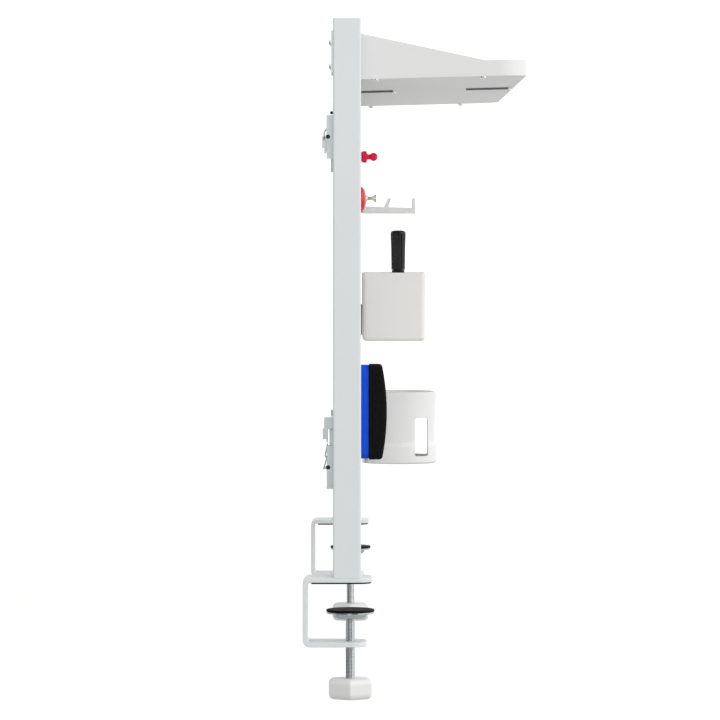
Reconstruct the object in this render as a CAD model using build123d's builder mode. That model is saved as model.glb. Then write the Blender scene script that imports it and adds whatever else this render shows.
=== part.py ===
"""Desk-clamped magnetic board organiser with a cup holder.

Two posts stand on two screw clamps and carry a magnetic white board, a sheet-steel shelf and
loose magnetic holders: cup holder, pen cup, double hook, eraser and pins.
Frame: +Z up, the front faces -Y, width along X. The origin is midway between the clamps, on the
desk top (under the rubber pads), at the middle of the posts' depth.
"""
from build123d import *
import os
from math import sin, cos, radians

os.makedirs("parts", exist_ok=True)

# ------------------------------------------------------------------ driving dimensions (mm)
overall_width = 1000.0
post_w, post_d, post_wall = 50.0, 30.0, 1.5
post_len = 594.0
cap_h = 6.0
steel = 5.0                     # clamp plate thickness
desk_pad_t = 1.5                # rubber under the top plate
mouth_depth = 63.0              # desk top down to the clamp's bottom plate
screw_r = 5.0                   # M10
shelf_width = 950.0
shelf_depth = 179.0
shelf_tilt = 1.5                # degrees, front edge up
sheet = 1.5
board_z0, board_z1 = 62.0, 542.0

post_x = (overall_width - post_w) / 2
front = -post_d / 2             # front face of posts and board
back = post_d / 2
post_z0 = desk_pad_t + steel
post_z1 = post_z0 + post_len
sides = (("left", -1), ("right", 1))

# ------------------------------------------------------------------ clamps
clamp_back = 47.5
clamp_top_front, clamp_bottom_front = -27.0, -21.0
bend_out, bend_in = 8.0, 3.0
plate_corner_r = 15.0
screw_y = -3.5
desk_pad_len, desk_pad_y = 64.5, 6.25
pad_top = -28.7                 # jaw rubber's top face at rest
pad_r, pad_t = 26.0, 2.5
dish_t, hub_r, hub_h = 2.0, 18.0, 5.5
socket_gap = 0.05
knob_top, knob_h, knob_flat = -103.4, 22.0, 46.0
bottom_z = -mouth_depth

for side, s in sides:
    x = s * post_x
    outline = [(clamp_top_front, post_z0), (clamp_back, post_z0), (clamp_back, bottom_z - steel),
               (clamp_bottom_front, bottom_z - steel), (clamp_bottom_front, bottom_z),
               (clamp_back - steel, bottom_z), (clamp_back - steel, desk_pad_t),
               (clamp_top_front, desk_pad_t)]
    with BuildPart() as clamp_bracket:
        with BuildSketch(Plane.YZ.offset(x)) as c_shape:
            with BuildLine():
                Polyline(*outline, close=True)
            make_face()
            fillet(c_shape.vertices().group_by(Axis.X)[-1], bend_out)
            fillet(c_shape.vertices().filter_by_position(
                Axis.X, clamp_back - steel - 0.1, clamp_back - steel + 0.1), bend_in)
        extrude(amount=post_w / 2, both=True)
        fillet(clamp_bracket.edges().filter_by(Axis.Z).filter_by(lambda e: e.length < steel + 0.1),
               plate_corner_r)
        with Locations((x, screw_y, bottom_z)):
            Hole(screw_r + socket_gap, depth=steel)
    clamp_bracket.part.label = f"{side}_clamp_bracket"
    export_step(clamp_bracket.part, f"parts/{side}_clamp_bracket.step")

    dish_top = pad_top - pad_t
    hub_z = dish_top - dish_t - hub_h
    with BuildPart() as jaw_pad:
        with BuildSketch(Plane.XY.offset(dish_top)):
            with Locations((x, screw_y)):
                Circle(pad_r)
        extrude(amount=pad_t)
        fillet(jaw_pad.edges().group_by(Axis.Z)[-1], 0.8)
    jaw_pad.part.label = f"{side}_jaw_pad"
    export_step(jaw_pad.part, f"parts/{side}_jaw_pad.step")

    with BuildPart() as jaw_dish:
        with BuildSketch(Plane.XZ.offset(-screw_y)) as dish_shape:
            with BuildLine():
                Polyline((x, dish_top), (x + pad_r, dish_top), (x + pad_r, dish_top - dish_t),
                         (x + hub_r, dish_top - dish_t), (x + hub_r - 3, hub_z), (x, hub_z),
                         close=True)
            make_face()
        revolve(axis=Axis((x, screw_y, 0), (0, 0, 1)))
        with Locations((x, screw_y, hub_z + 4.5)):
            Hole(screw_r + socket_gap, depth=4.5)
    jaw_dish.part.label = f"{side}_jaw_dish"
    export_step(jaw_dish.part, f"parts/{side}_jaw_dish.step")

    screw_top = hub_z + 4.0
    screw_end = knob_top - 18.0
    with BuildPart() as clamp_screw:
        with BuildSketch(Plane.XY.offset(screw_end)):
            with Locations((x, screw_y)):
                Circle(screw_r)
        extrude(amount=screw_top - screw_end)
        chamfer(clamp_screw.edges().filter_by(GeomType.CIRCLE), 1.0)
    clamp_screw.part.label = f"{side}_clamp_screw"
    export_step(clamp_screw.part, f"parts/{side}_clamp_screw.step")

    with BuildPart() as knob:
        with BuildSketch(Plane.XY.offset(knob_top - knob_h)) as knob_shape:
            with Locations((x, screw_y)):
                RegularPolygon(knob_flat / 2, 6, major_radius=False)
            fillet(knob_shape.vertices(), 4.5)
        extrude(amount=knob_h)
        fillet(knob.edges().group_by(Axis.Z)[-1], 6.5)
        fillet(knob.edges().group_by(Axis.Z)[0], 6.5)
        with Locations((x, screw_y, knob_top)):
            Hole(screw_r + 0.02, depth=18.0)
    knob.part.label = f"{side}_clamp_knob"
    export_step(knob.part, f"parts/{side}_clamp_knob.step")

with BuildPart() as desk_pads:
    for side, s in sides:
        with BuildSketch() as pad_shape:
            with Locations((s * post_x, desk_pad_y)):
                Rectangle(post_w - 2, desk_pad_len)
            fillet(pad_shape.vertices().group_by(Axis.Y)[0], plate_corner_r - 1)
        extrude(amount=desk_pad_t)
desk_pads.part.label = "desk_pads"
export_step(desk_pads.part, "parts/desk_pads.step")

# ------------------------------------------------------------------ posts, caps, welds
bolt_x = 462.0                  # shelf bolts, from the middle
bolt_zs = (555.6, 581.3)
bolt_r = 2.0                    # M4
hole_play = 0.2
inner_w, inner_d = post_w - 2 * post_wall, post_d - 2 * post_wall

for side, s in sides:
    x = s * post_x
    with BuildPart() as post:
        with BuildSketch(Plane.XY.offset(post_z0)) as tube:
            with Locations((x, 0)):
                Rectangle(post_w, post_d)
            fillet(tube.vertices(), 2.0)
            with Locations((x, 0)):
                Rectangle(inner_w, inner_d, mode=Mode.SUBTRACT)
        extrude(amount=post_len)
        with BuildSketch(Plane.XZ.offset(-post_d)):
            with Locations(*[(s * bolt_x, z) for z in bolt_zs]):
                Circle(bolt_r + hole_play)
        extrude(amount=2 * post_d, mode=Mode.SUBTRACT)
    post.part.label = f"{side}_post"
    export_step(post.part, f"parts/{side}_post.step")

with BuildPart() as caps:
    for side, s in sides:
        with BuildSketch(Plane.XY.offset(post_z1)) as cap_shape:
            with Locations((s * post_x, 0)):
                Rectangle(post_w, post_d)
            fillet(cap_shape.vertices(), 2.0)
        extrude(amount=cap_h)
    fillet(caps.edges().group_by(Axis.Z)[-1], 1.2)
    with BuildSketch(Plane.XY.offset(post_z1)):
        with Locations(*[(s * post_x, 0) for side, s in sides]):
            Rectangle(inner_w - 0.4, inner_d - 0.4)
            Rectangle(inner_w - 4.4, inner_d - 4.4, mode=Mode.SUBTRACT)
    extrude(amount=-14)
caps.part.label = "post_caps"
export_step(caps.part, "parts/post_caps.step")

weld_leg = 4.6
with BuildPart() as post_welds:
    for side, s in sides:
        with BuildSketch(Plane.YZ.offset(s * post_x)):
            with BuildLine():
                Polyline((back, post_z0), (back + weld_leg, post_z0), (back, post_z0 + weld_leg - 1),
                         close=True)
            make_face()
        extrude(amount=20, both=True)
post_welds.part.label = "post_welds"
export_step(post_welds.part, "parts/post_welds.step")

# ------------------------------------------------------------------ board between the posts
rail = 18.0
face_t, core_t, skin_t = 1.0, 11.0, 1.0
board_half = overall_width / 2 - post_w - 0.5
board_mid = (board_z0 + board_z1) / 2
board_h = board_z1 - board_z0
frame_y = front + face_t        # the frame starts behind the face sheet
frame_depth = back - frame_y

with BuildPart() as board_face:
    with Locations((0, front + face_t / 2, board_mid)):
        Box(2 * board_half, face_t, board_h)
board_face.part.label = "board_face_sheet"
export_step(board_face.part, "parts/board_face_sheet.step")

layers = (("board_core", frame_y, core_t), ("board_back_skin", frame_y + core_t, skin_t))
for name, y0, thick in layers:
    with BuildPart() as layer:
        with Locations((0, y0 + thick / 2, board_mid)):
            Box(2 * (board_half - rail), thick, board_h - 2 * rail)
    layer.part.label = name
    export_step(layer.part, f"parts/{name}.step")

rail_wall = 1.5
rail_mid_y = frame_y + frame_depth / 2
for name, z in (("board_top_rail", board_z1 - rail / 2), ("board_bottom_rail", board_z0 + rail / 2)):
    with BuildPart() as rail_part:
        with BuildSketch(Plane.YZ.offset(-board_half)):
            with Locations((rail_mid_y, z)):
                Rectangle(frame_depth, rail)
                Rectangle(frame_depth - 2 * rail_wall, rail - 2 * rail_wall, mode=Mode.SUBTRACT)
        extrude(amount=2 * board_half)
    rail_part.part.label = name
    export_step(rail_part.part, f"parts/{name}.step")

with BuildPart() as stiles:
    for side, s in sides:
        with BuildSketch(Plane.XY.offset(board_z0 + rail)):
            with Locations((s * (board_half - rail / 2), rail_mid_y)):
                Rectangle(rail, frame_depth)
                Rectangle(rail - 2 * rail_wall, frame_depth - 2 * rail_wall, mode=Mode.SUBTRACT)
        extrude(amount=board_h - 2 * rail)
stiles.part.label = "board_side_rails"
export_step(stiles.part, "parts/board_side_rails.step")

rest_leg, rest_t, rest_depth = 24.0, 2.0, 20.0
post_inner = overall_width / 2 - post_w
with BuildPart() as board_rests:
    for side, s in sides:
        with BuildSketch(Plane.XZ.offset(-rest_depth / 2)):
            with BuildLine():
                Polyline((s * post_inner, board_z0), (s * (post_inner - rest_leg), board_z0),
                         (s * (post_inner - rest_leg), board_z0 - rest_t),
                         (s * (post_inner - rest_t), board_z0 - rest_t),
                         (s * (post_inner - rest_t), board_z0 - rest_leg),
                         (s * post_inner, board_z0 - rest_leg), close=True)
            make_face()
        extrude(amount=rest_depth)
board_rests.part.label = "board_rest_brackets"
export_step(board_rests.part, "parts/board_rest_brackets.step")

# ------------------------------------------------------------------ shelf
shelf_z = 541.5
tilt = radians(shelf_tilt)
shelf_origin = (0, front, shelf_z)
shelf_plane = Plane(origin=shelf_origin, x_dir=(1, 0, 0), z_dir=(0, sin(tilt), cos(tilt)))
side_plane = Plane(origin=shelf_origin, x_dir=(0, -cos(tilt), sin(tilt)), z_dir=(-1, 0, 0))
shelf_corner = 30.0
side_h, lip_h, slope_end = 49.4, 17.0, 134.5
flange = 14.0
half_shelf = shelf_width / 2
shelf_back_top = 591.0
trim_size = 60.0
screw_spots = [(s * (half_shelf - 7), -v) for s in (-1, 1) for v in (15.4, 131.0)]
floor_hole_r = 2.1


def shelf_outline(inset):
    """Plan of the shelf, open to the back, moved in by inset."""
    with Locations((0, -(shelf_depth - inset) / 2 + 5)):
        Rectangle(shelf_width - 2 * inset, shelf_depth - inset + 10)


with BuildPart() as shelf_floor:
    with BuildSketch(shelf_plane) as floor_plan:
        shelf_outline(0)
        fillet(floor_plan.vertices().group_by(Axis.Y)[0], shelf_corner)
    extrude(amount=sheet)
    with Locations((0, front + trim_size / 2, shelf_z)):
        Box(overall_width, trim_size, trim_size, mode=Mode.SUBTRACT)
    with BuildSketch(shelf_plane):
        with Locations(*screw_spots):
            Circle(floor_hole_r)
    extrude(amount=sheet, mode=Mode.SUBTRACT)
shelf_floor.part.label = "shelf_floor"
export_step(shelf_floor.part, "parts/shelf_floor.step")

with BuildPart() as shelf_rim:
    with BuildSketch(shelf_plane.offset(sheet)) as rim_plan:
        shelf_outline(0)
        fillet(rim_plan.vertices().group_by(Axis.Y)[0], shelf_corner)
    extrude(amount=side_h - sheet)
    with BuildSketch(shelf_plane.offset(2 * sheet)) as well_plan:
        shelf_outline(sheet)
        fillet(well_plan.vertices().group_by(Axis.Y)[0], shelf_corner - sheet)
    extrude(amount=side_h, mode=Mode.SUBTRACT)
    with BuildSketch(shelf_plane.offset(sheet)) as opening_plan:
        shelf_outline(flange)
        fillet(opening_plan.vertices().group_by(Axis.Y)[0], shelf_corner - flange)
    extrude(amount=side_h, mode=Mode.SUBTRACT)
    with BuildSketch(side_plane) as slope:
        with BuildLine():
            Polyline((-20, side_h + 5), (0, side_h), (slope_end, lip_h), (shelf_depth + 10, lip_h),
                     (shelf_depth + 10, side_h + 5), close=True)
        make_face()
    extrude(amount=half_shelf + 10, both=True, mode=Mode.SUBTRACT)
    with BuildSketch(shelf_plane):
        with Locations(*screw_spots):
            Circle(floor_hole_r)
    extrude(amount=3 * sheet, mode=Mode.SUBTRACT)
    with Locations((0, front - sheet + trim_size / 2, shelf_z + 20)):
        Box(overall_width, trim_size, 2 * trim_size, mode=Mode.SUBTRACT)
shelf_rim.part.label = "shelf_rim"
export_step(shelf_rim.part, "parts/shelf_rim.step")

back_z0 = shelf_z + sheet + 0.1
with BuildPart() as shelf_back:
    with Locations((0, front - sheet / 2, (back_z0 + shelf_back_top) / 2)):
        Box(shelf_width, sheet, shelf_back_top - back_z0)
    with BuildSketch(Plane.XZ.offset(-front)):
        with Locations(*[(s * bolt_x, z) for s in (-1, 1) for z in bolt_zs]):
            Circle(bolt_r + hole_play)
    extrude(amount=5, mode=Mode.SUBTRACT)
shelf_back.part.label = "shelf_back_plate"
export_step(shelf_back.part, "parts/shelf_back_plate.step")

bar_x, bar_w, bar_t = -97.0, 10.0, 2.2
bar_spans = ((1.0, 38.0), (123.0, 172.0))
with BuildPart() as shelf_bars:
    with BuildSketch(shelf_plane):
        for near, far in bar_spans:
            with Locations((bar_x, -(near + far) / 2)):
                Rectangle(bar_w, far - near)
    extrude(amount=-bar_t)
shelf_bars.part.label = "shelf_stiffener_bars"
export_step(shelf_bars.part, "parts/shelf_stiffener_bars.step")

pan_r, pan_h, bar_head_r, bar_head_h = 3.4, 2.8, 3.0, 2.2
bar_screw_spots = [(bar_x, -(far + 0.5)) for near, far in bar_spans]
with BuildPart() as shelf_screws:
    for spots, level, radius, height in ((screw_spots, 0, pan_r, pan_h),
                                         (bar_screw_spots, -bar_t, bar_head_r, bar_head_h)):
        with BuildSketch(shelf_plane.offset(level)):
            with Locations(*spots):
                Circle(radius)
        extrude(amount=-height)
    lower_rims = shelf_screws.edges().filter_by(GeomType.CIRCLE).filter_by(
        lambda e: shelf_plane.to_local_coords(e.center()).Z < -bar_t - 0.1)
    fillet(lower_rims, 1.3)
    with BuildSketch(shelf_plane):
        with Locations(*screw_spots):
            Circle(floor_hole_r - 0.1)
    extrude(amount=2 * sheet + 1.0)
shelf_screws.part.label = "shelf_screws"
export_step(shelf_screws.part, "parts/shelf_screws.step")

# backing plates, bolts, sleeves and nuts that hold the shelf to the posts
backing_t, backing_w, backing_z0, backing_z1 = 2.0, 46.0, 546.0, 593.0
head_r, head_h = 3.7, 2.3
bolt_spots = [(s * bolt_x, z) for s in (-1, 1) for z in bolt_zs]
with BuildPart() as backing_plates:
    for side, s in sides:
        with BuildSketch(Plane.XZ.offset(-back)) as plate_shape:
            with Locations((s * post_x, (backing_z0 + backing_z1) / 2)):
                Rectangle(backing_w, backing_z1 - backing_z0)
            fillet(plate_shape.vertices(), 3)
            with Locations(*[(s * bolt_x, z) for z in bolt_zs]):
                Circle(bolt_r + hole_play, mode=Mode.SUBTRACT)
        extrude(amount=-backing_t)
backing_plates.part.label = "shelf_backing_plates"
export_step(backing_plates.part, "parts/shelf_backing_plates.step")

nut_af, nut_h = 7.0, 3.2
nut_face = front - sheet
with BuildPart() as shelf_bolts:
    with BuildSketch(Plane.XZ.offset(-(back + backing_t))):
        with Locations(*bolt_spots):
            Circle(head_r)
    extrude(amount=-head_h)
    fillet(shelf_bolts.edges().group_by(Axis.Y)[-1], 1.1)
    with BuildSketch(Plane.XZ.offset(-(back + backing_t))):
        with Locations(*bolt_spots):
            Circle(bolt_r)
    extrude(amount=back + backing_t - nut_face + nut_h - 0.5)
shelf_bolts.part.label = "shelf_bolts"
export_step(shelf_bolts.part, "parts/shelf_bolts.step")

with BuildPart() as shelf_nuts:
    with BuildSketch(Plane.XZ.offset(-nut_face)):
        with Locations(*bolt_spots):
            RegularPolygon(nut_af / 2, 6, major_radius=False)
            Circle(bolt_r + 0.02, mode=Mode.SUBTRACT)
    extrude(amount=nut_h)
shelf_nuts.part.label = "shelf_nuts"
export_step(shelf_nuts.part, "parts/shelf_nuts.step")

with BuildPart() as bolt_sleeves:
    with BuildSketch(Plane.XZ.offset(-(inner_d / 2 - 0.05))):
        with Locations(*bolt_spots):
            Circle(bolt_r + 1.8)
            Circle(bolt_r + hole_play, mode=Mode.SUBTRACT)
    extrude(amount=inner_d - 0.1)
bolt_sleeves.part.label = "bolt_sleeves"
export_step(bolt_sleeves.part, "parts/bolt_sleeves.step")

# ------------------------------------------------------------------ catches behind the posts
# Both boards' edges hang by tabs in channels on the posts. The left post's channels carry a toggle
# catch above and a spring catch below; the right post's have cross pins alone.
base_len, base_w, base_h, base_t = 46.5, 18.0, 7.0, 1.2
upper_z, lower_z = 479.7, 124.6  # middles of the two rows of channels
keeper_dz, keeper_h = 7.0, 5.6   # the hanging tabs, above a channel's middle
pin_y = back + 5.3
pin_r = 1.5
wire_r = 0.6
block_w = 10.8
arm_x = 6.4                     # bail arms each side of the middle
tab_t = 2.0
tab_inner = 433.0
bail_pin = (24.6, upper_z - 3.2)
stop_z0, stop_z1 = 148.8, 165.2
channels = [(-1, upper_z), (-1, lower_z), (1, upper_z), (1, lower_z)]
hung = [(-1, upper_z), (1, upper_z), (1, lower_z)]     # channels with a plain tab and lug
catch_x = -post_x

with BuildPart() as catch_bases:
    for s, z in channels:
        with BuildSketch(Plane.XY.offset(z - base_len / 2)):
            with Locations((s * post_x, back + base_h / 2)):
                Rectangle(base_w, base_h)
            with Locations((s * post_x, back + base_t + base_h / 2)):
                Rectangle(base_w - 2 * base_t, base_h, mode=Mode.SUBTRACT)
        extrude(amount=base_len)
        with BuildSketch(Plane.YZ.offset(s * post_x)):
            with Locations((pin_y, z)):
                Circle(pin_r + 0.05)
        extrude(amount=base_w, both=True, mode=Mode.SUBTRACT)
        if (s, z) in hung:          # notch that lets the keeper tab in
            with Locations((s * (post_x - 4), back + 2, z + 8.2)):
                Box(base_w - 4, 6, 11, mode=Mode.SUBTRACT)
    with Locations((catch_x, back + tab_t, (stop_z0 + stop_z1) / 2)):     # stop of the lower catch
        Box(base_w / 2, 2 * tab_t, stop_z1 - stop_z0)
catch_bases.part.label = "catch_bases"
export_step(catch_bases.part, "parts/catch_bases.step")

# toggle lever of the upper catch: pivot eye, block and stepped tail
lever_profile = [(pin_y - 0.5, 0.4), (26.8, 0.4), (26.8, -12), (24.6, -12), (24.6, -17.8),
                 (22.6, -17.8), (21.2, -9), (pin_y - 0.5, -2.5)]
with BuildPart() as lever:
    with BuildSketch(Plane.YZ.offset(catch_x)):
        with Locations((pin_y, upper_z)):
            Circle(3.2)
        with BuildLine():
            Polyline(*[(y, upper_z + dz) for y, dz in lever_profile], close=True)
        make_face()
    extrude(amount=block_w / 2, both=True)
    with BuildSketch(Plane.YZ.offset(catch_x)):
        with Locations((pin_y, upper_z)):
            Circle(pin_r + 0.05)
        with Locations(bail_pin):
            Circle(wire_r + 0.05)
    extrude(amount=block_w, both=True, mode=Mode.SUBTRACT)
lever.part.label = "upper_left_catch_lever"
export_step(lever.part, "parts/upper_left_catch_lever.step")

# wire bail: two arms joined by a cross wire that sits over the keeper
arm = [bail_pin, (24.6, upper_z + 4.6), (22.6, upper_z + 7.6), (19.3, upper_z + 10.6)]
hooked_in = 3.4                 # the ends turn in and stop this far from the middle
with BuildPart() as bail:
    with BuildLine() as bail_path:
        FilletPolyline((catch_x - hooked_in, *bail_pin), *[(catch_x - arm_x, y, z) for y, z in arm],
                       *[(catch_x + arm_x, y, z) for y, z in reversed(arm)],
                       (catch_x + hooked_in, *bail_pin), radius=1.0)
    with BuildSketch(Plane(bail_path.line @ 0, z_dir=bail_path.line % 0)):
        Circle(wire_r)
    sweep(path=bail_path.line)
bail.part.label = "upper_left_catch_bail"
export_step(bail.part, "parts/upper_left_catch_bail.step")

# spring wire of the lower catch: zigzag arms on the pin, cross wire under the keeper's nose
reach = [(25.2, lower_z - 2.0), (21.9, lower_z + 9.6), (23.6, lower_z + 12.4), (21.2, lower_z + 24.6)]
lower_arm = 7.1
with BuildPart() as spring_wire:
    with BuildLine() as wire_path:
        FilletPolyline(*[(catch_x - lower_arm, y, z) for y, z in reach],
                       *[(catch_x + lower_arm, y, z) for y, z in reversed(reach)], radius=0.9)
    with BuildSketch(Plane(wire_path.line @ 0, z_dir=wire_path.line % 0)):
        Circle(wire_r)
    sweep(path=wire_path.line)
    for end in (-1, 1):             # flattened eyes round the pin
        with BuildSketch(Plane.YZ.offset(catch_x + end * lower_arm)):
            with Locations((pin_y, lower_z)):
                Circle(2.3)
            with BuildLine():
                Polyline((pin_y, lower_z + 1.4), (25.4, lower_z - 1.2), (25.2, lower_z - 2.6),
                         (pin_y, lower_z - 1.8), close=True)
            make_face()
        extrude(amount=0.5, both=True)
        with BuildSketch(Plane.YZ.offset(catch_x + end * lower_arm)):
            with Locations((pin_y, lower_z)):
                Circle(pin_r + 0.05)
        extrude(amount=1, both=True, mode=Mode.SUBTRACT)
spring_wire.part.label = "lower_left_catch_bail"
export_step(spring_wire.part, "parts/lower_left_catch_bail.step")

rivet_r, rivet_h = 2.8, 0.8
with BuildPart() as catch_pins:
    for s, z in channels:
        with BuildSketch(Plane.YZ.offset(s * post_x)):
            with Locations((pin_y, z)):
                Circle(pin_r)
        extrude(amount=base_w / 2, both=True)
        for end in (-1, 1):
            with BuildSketch(Plane.YZ.offset(s * post_x + end * base_w / 2)):
                with Locations((pin_y, z)):
                    Circle(rivet_r)
            extrude(amount=end * rivet_h)
catch_pins.part.label = "catch_pins"
export_step(catch_pins.part, "parts/catch_pins.step")

# keepers on tabs of the board: a lug in each plain channel, and at the lower left a folded box and
# block with a nose that the spring wire snaps under
box_z0, box_z1 = 165.8, 178.4
nose = [(back + tab_t, box_z0), (back + tab_t, box_z1), (24.6, box_z1), (24.6, 166.6), (26.2, 166.6),
        (26.2, 155.0), (22.5, 155.0), (21.6, 150.9), (20.4, 152.4), (20.4, box_z0)]
with BuildPart() as catch_keepers:
    for s, z in hung:
        tab_end = post_x + 2.2
        with Locations((s * (tab_inner + tab_end) / 2, back + tab_t / 2, z + keeper_dz)):
            Box(tab_end - tab_inner, tab_t, keeper_h)
        with Locations((s * (post_x + 0.2), back + 3.1, z + keeper_dz)):
            Box(4, 2.2 + tab_t, keeper_h)
    tab_end = post_x + 8
    with Locations((-(tab_inner + tab_end) / 2, back + tab_t / 2, (box_z0 + box_z1) / 2)):
        Box(tab_end - tab_inner, tab_t, box_z1 - box_z0)
    with BuildSketch(Plane.YZ.offset(catch_x)):
        with BuildLine():
            Polyline(*nose, close=True)
        make_face()
    extrude(amount=8, both=True)
catch_keepers.part.label = "catch_keepers"
export_step(catch_keepers.part, "parts/catch_keepers.step")

# small screws: in the channels, in the keeper tabs and in the rest brackets
tab_levels = [(-1, upper_z + keeper_dz), (-1, (box_z0 + box_z1) / 2),
              (1, upper_z + keeper_dz), (1, lower_z + keeper_dz)]
tab_screws = [(s * x, z) for s, z in tab_levels for x in (438.0, 445.5)]
base_screws = [(s * post_x, z + dz) for s, z in channels for dz in (-19.5, 19.8)]
small_head_h, rest_head_h = 1.4, 2.0
with BuildPart() as small_screws:
    for spots, level in ((tab_screws, back + tab_t), (base_screws, back + base_t)):
        with BuildSketch(Plane.XZ.offset(-level)):
            with Locations(*spots):
                Circle(2.4)
        extrude(amount=-small_head_h)
    for side, s in sides:
        with BuildSketch(Plane.YZ.offset(s * (post_inner - rest_t))):
            with Locations((-rest_depth / 4, board_z0 - 13), (rest_depth / 4, board_z0 - 13)):
                Circle(3.2)
        extrude(amount=-s * rest_head_h)
small_screws.part.label = "small_screws"
export_step(small_screws.part, "parts/small_screws.step")

stud_r, stud_z = 1.6, 505.6
with BuildPart() as stop_studs:
    with BuildSketch(Plane.XZ.offset(-back)):
        with Locations(*[(s * post_x, stud_z) for side, s in sides]):
            Circle(stud_r)
    extrude(amount=-3.2)
    fillet(stop_studs.edges().group_by(Axis.Y)[-1], 1.2)
stop_studs.part.label = "stop_studs"
export_step(stop_studs.part, "parts/stop_studs.step")

# ------------------------------------------------------------------ pen cup and marker
cup_x, cup_w, cup_d, cup_wall = -102.0, 75.0, 73.2, 2.0
cup_z0, cup_z1 = 252.0, 331.0
cup_back = -17.0
cup_magnet_w, cup_magnet_z0, cup_magnet_z1 = 50.0, 259.0, 294.0
cup_y = cup_back - cup_d / 2
with BuildPart() as pen_cup:
    for inset, floor_z, mode in ((0, cup_z0, Mode.ADD), (cup_wall, cup_z0 + cup_wall, Mode.SUBTRACT)):
        with BuildSketch(Plane.XY.offset(floor_z)) as cup_foot:
            with Locations((cup_x, cup_y + 0.5)):
                Rectangle(cup_w - 2 - 2 * inset, cup_d - 1 - 2 * inset)
            fillet(cup_foot.vertices(), 6 - inset)
        with BuildSketch(Plane.XY.offset(cup_z1)) as cup_mouth:
            with Locations((cup_x, cup_y)):
                Rectangle(cup_w - 2 * inset, cup_d - 2 * inset)
            fillet(cup_mouth.vertices(), 6 - inset)
        loft(mode=mode)
    fillet(pen_cup.faces().sort_by(Axis.Z)[0].edges(), 1.9)
pen_cup.part.label = "pen_cup"
export_step(pen_cup.part, "parts/pen_cup.step")

with BuildPart() as pen_cup_magnet:
    with Locations((cup_x, (cup_back + front) / 2, (cup_magnet_z0 + cup_magnet_z1) / 2)):
        Box(cup_magnet_w, front - cup_back - 0.04, cup_magnet_z1 - cup_magnet_z0)
pen_cup_magnet.part.label = "pen_cup_magnet"
export_step(pen_cup_magnet.part, "parts/pen_cup_magnet.step")

marker_x, marker_y = -78.0, -59.3
marker_z0, marker_z1 = cup_z0 + cup_wall + 0.1, 380.0
barrel_r, marker_cap_r = 7.6, 8.9
cap_z0 = 334.0
neck_r, neck_len = 5.6, 14.0
with BuildPart() as marker_barrel:
    with BuildSketch(Plane.XZ.offset(-marker_y)):
        with BuildLine():
            Polyline((marker_x, marker_z0), (marker_x + barrel_r - 0.8, marker_z0),
                     (marker_x + barrel_r, marker_z0 + 0.8), (marker_x + barrel_r, cap_z0 - 0.3),
                     (marker_x + neck_r, cap_z0 - 0.3), (marker_x + neck_r, cap_z0 + neck_len),
                     (marker_x + 3.2, cap_z0 + neck_len + 6), (marker_x, cap_z0 + neck_len + 6),
                     close=True)
        make_face()
    revolve(axis=Axis((marker_x, marker_y, 0), (0, 0, 1)))
    with Locations((marker_x, marker_y, cap_z0 + neck_len + 6)):
        Hole(2.0, depth=8)
marker_barrel.part.label = "marker_barrel"
export_step(marker_barrel.part, "parts/marker_barrel.step")

with BuildPart() as marker_tip:
    with BuildSketch(Plane.XZ.offset(-marker_y)):
        with BuildLine():
            Polyline((marker_x, cap_z0 + neck_len - 1.9), (marker_x + 1.95, cap_z0 + neck_len - 1.9),
                     (marker_x + 1.95, cap_z0 + neck_len + 8), (marker_x + 1.0, cap_z0 + neck_len + 10.5),
                     (marker_x, cap_z0 + neck_len + 10.5), close=True)
        make_face()
    revolve(axis=Axis((marker_x, marker_y, 0), (0, 0, 1)))
marker_tip.part.label = "marker_tip"
export_step(marker_tip.part, "parts/marker_tip.step")

with BuildPart() as marker_cap:
    with BuildSketch(Plane.XZ.offset(-marker_y)):
        with BuildLine():
            Polyline((marker_x + neck_r + 0.05, cap_z0), (marker_x + barrel_r + 0.3, cap_z0),
                     (marker_x + marker_cap_r, marker_z1 - 3.4))
            Spline((marker_x + marker_cap_r, marker_z1 - 3.4), (marker_x + 7.3, marker_z1 - 0.9),
                   (marker_x, marker_z1), tangents=((0, 1), (-1, 0)))
            Polyline((marker_x, marker_z1), (marker_x, cap_z0 + neck_len + 14),
                     (marker_x + neck_r + 0.05, cap_z0 + neck_len + 14),
                     (marker_x + neck_r + 0.05, cap_z0))
        make_face()
    revolve(axis=Axis((marker_x, marker_y, 0), (0, 0, 1)))
marker_cap.part.label = "marker_cap"
export_step(marker_cap.part, "parts/marker_cap.step")

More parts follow.
